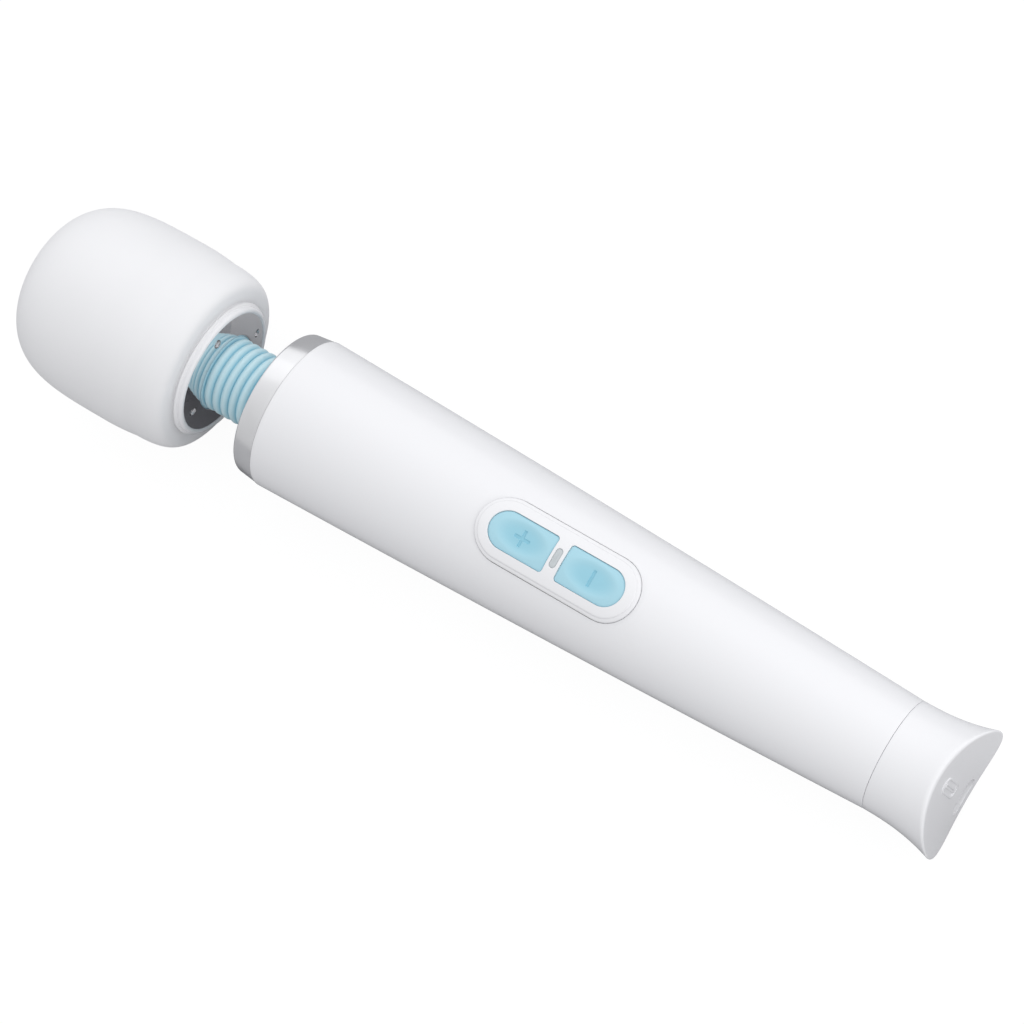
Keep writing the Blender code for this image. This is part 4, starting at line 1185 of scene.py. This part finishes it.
def make_button(name, span, centre, mark_centre, marks):
    """Dished soft button with an engraved mark, on a stem down to its switch."""
    rim = [(0, -BUTTON_DEPTH), (0, 0.35), (0.06, 0.58), (0.22, 0.78), (0.48, 0.87), (0.8, BUTTON_PROUD)]
    solid = bmesh.new()
    bottom, top = loft(solid, [raised(d_shape(span, -inset), lift) for inset, lift in rim])
    turns = [2 * pi * i / STEM_SIDES for i in range(STEM_SIDES)]
    circle = [(centre + STEM_RADIUS * cos(turn), STEM_RADIUS * sin(turn)) for turn in turns]
    stem = [raised(circle, -BUTTON_DEPTH), raised(circle, -BUTTON_DEPTH - 1.0)]
    stem_top, stem_foot = loft(solid, stem)
    fill(solid, top)
    fill(solid, bottom, stem_top)
    solid.faces.new(stem_foot)
    across, lengthwise = BUTTON_SLICES
    slices = steps_between(-DISH_REACH, DISH_REACH, across) + mark_lines(0.0)
    slice_up(solid, 1, sorted(slices))
    low_end, high_end = sorted(span)
    slices = steps_between(low_end + lengthwise, high_end - lengthwise, lengthwise)
    slice_up(solid, 0, sorted(slices + mark_lines(mark_centre)))
    # The shade layer holds the button's own tone, plus painted shade that deepens into the dish and fills the
    # engraved mark.
    layer = solid.verts.layers.float.new("shade")
    foot = [vertex for vertex in solid.verts if vertex.co.z < -BUTTON_DEPTH - 0.9]
    for vertex in solid.verts:
        if vertex.co.z > BUTTON_PROUD - 0.01:
            dish, mark = button_top(vertex.co.x, vertex.co.y, mark_centre, marks)
            vertex.co.z = BUTTON_PROUD - DISH_DEPTH * dish - MARK_DEPTH * mark
            vertex[layer] = max(BUTTON_TONE + DISH_SHADE * dish, mark)
        else:
            vertex[layer] = BUTTON_TONE
    wrap(solid)
    for vertex in foot:
        vertex.co.z = STEM_FOOT
    button = finished(f"{name}_cap", solid, "blue_silicone", 50)
    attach(button, f"{name}_button")
    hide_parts(f"{name}_button")


# -------- nodes kept from the frame


def finish_kept_nodes():
    """Gives every CAD node that still shows the material of its slot."""
    slots = {row["node"]: row["material_slot"] for row in frame["record"]["subparts"]}
    for name, node in frame["nodes"].items():
        material = materials[slots[name]]
        if node.material_slots:
            for holder in node.material_slots:
                holder.material = material
        else:
            node.data.materials.append(material)


# -------- studio


def make_floor():
    """Pale floor that looks white to the camera and lights the wand's underside only a little, with a painted
    shadow strip along the wand.
    """
    mesh = bpy.data.meshes.new("studio_floor")
    sheet = bmesh.new()
    bmesh.ops.create_grid(sheet, x_segments=8, y_segments=8, size=FLOOR_REACH)
    sheet.to_mesh(mesh)
    sheet.free()
    material = new_material("studio_floor", specular=0.0)
    nodes = Nodes(material)
    seen = nodes.add("ShaderNodeLightPath").outputs["Is Camera Ray"]
    # Painted shadow: a strip darkest within SHADOW_INNER of SHADOW_MIDDLE and gone by SHADOW_OUTER, seen only by
    # bounced and reflected light.
    place = nodes.add("ShaderNodeSeparateXYZ")
    nodes.link(nodes.place, place.inputs["Vector"])
    away = nodes.maths("ABSOLUTE", nodes.maths("SUBTRACT", place.outputs["Y"], SHADOW_MIDDLE))
    clear = nodes.spread(away, 0.0, 1.0, SHADOW_INNER, SHADOW_OUTER)
    tone = nodes.mix(clear, SHADOW_TONE, FLOOR_TONE)
    nodes.feed("Base Color", nodes.mix(seen, tone, FLOOR_SEEN_TONE))
    nodes.feed("Emission Strength", nodes.spread(seen, 0.0, FLOOR_SEEN_GLOW, 0.0, 1.0))
    nodes.shader.inputs["Roughness"].default_value = 0.8
    nodes.shader.inputs["Emission Color"].default_value = (1, 1, 1, 1)
    mesh.materials.append(material)
    floor = bpy.data.objects.new("studio_floor", mesh)
    floor.location = (0, 0, -FLOOR_DROP)
    bpy.context.scene.collection.objects.link(floor)


def aimed(place, right, back):
    """Matrix of a camera or lamp at a place, from its right-hand side and the way behind it."""
    turn = Matrix((right, back.cross(right), back)).transposed().to_4x4()
    return Matrix.Translation(place) @ turn


def make_light(name, direction, distance, width, height, radiance):
    """A soft box that faces the wand."""
    light = bpy.data.lights.new(name, "AREA")
    light.shape = "RECTANGLE"
    light.size = width
    light.size_y = height
    light.energy = radiance * pi * width * height
    lamp = bpy.data.objects.new(name, light)
    target = to_row(LIGHT_STATION)
    way = TURN.to_3x3() @ Vector(direction).normalized()
    right = TURN.to_3x3() @ Vector((1, 0, 0))
    right = (right - way * right.dot(way)).normalized()
    lamp.matrix_world = aimed(target + way * distance, right, way)
    lamp.visible_camera = False
    bpy.context.scene.collection.objects.link(lamp)


def make_sky():
    """Even studio light from all round, weaker on the wand's left than on its right."""
    world = bpy.data.worlds.new("studio")
    world.use_nodes = True
    tree = world.node_tree
    way = tree.nodes.new("ShaderNodeSeparateXYZ")
    tree.links.new(tree.nodes.new("ShaderNodeTexCoord").outputs["Generated"], way.inputs["Vector"])
    ramp = tree.nodes.new("ShaderNodeMapRange")
    ramp.inputs["From Min"].default_value = -1.0
    ramp.inputs["To Min"].default_value = SKY_RIGHT
    ramp.inputs["To Max"].default_value = SKY_LEFT
    tree.links.new(way.outputs["Y"], ramp.inputs["Value"])
    background = tree.nodes["Background"]
    background.inputs["Color"].default_value = SKY_COLOUR
    tree.links.new(ramp.outputs["Result"], background.inputs["Strength"])
    bpy.context.scene.world = world


def make_camera():
    """Camera at CAMERA_PLACE, aimed at CAMERA_TARGET."""
    data = bpy.data.cameras.new("camera")
    data.lens = CAMERA_LENS
    data.sensor_width = CAMERA_SENSOR
    data.clip_start = 0.01
    camera = bpy.data.objects.new("camera", data)
    place = to_row(*CAMERA_PLACE)
    back = (place - to_row(*CAMERA_TARGET)).normalized()
    up = TURN.to_3x3() @ Vector(CAMERA_UP)
    right = up.cross(back).normalized()
    camera.matrix_world = aimed(place, right, back)
    bpy.context.scene.collection.objects.link(camera)
    bpy.context.scene.camera = camera


# -------- everything

make_camera()
make_floor()
make_sky()
for light_name, settings in LIGHTS.items():
    make_light(light_name, *settings)
bpy.context.scene.view_settings.view_transform = "Standard"
finish_kept_nodes()
make_head_cover()
make_bezel()
make_plate()
make_plate_screws()
make_boot()
make_neck_inside()
make_collar()
make_sleeve()
make_tail_cap()
make_badge()
make_control_panel()
make_lens()
make_button("plus", PLUS_SPAN, PLUS_STATION, PLUS_MARK, ("along", "across"))
make_button("minus", MINUS_SPAN, MINUS_STATION, MINUS_MARK, ("across",))
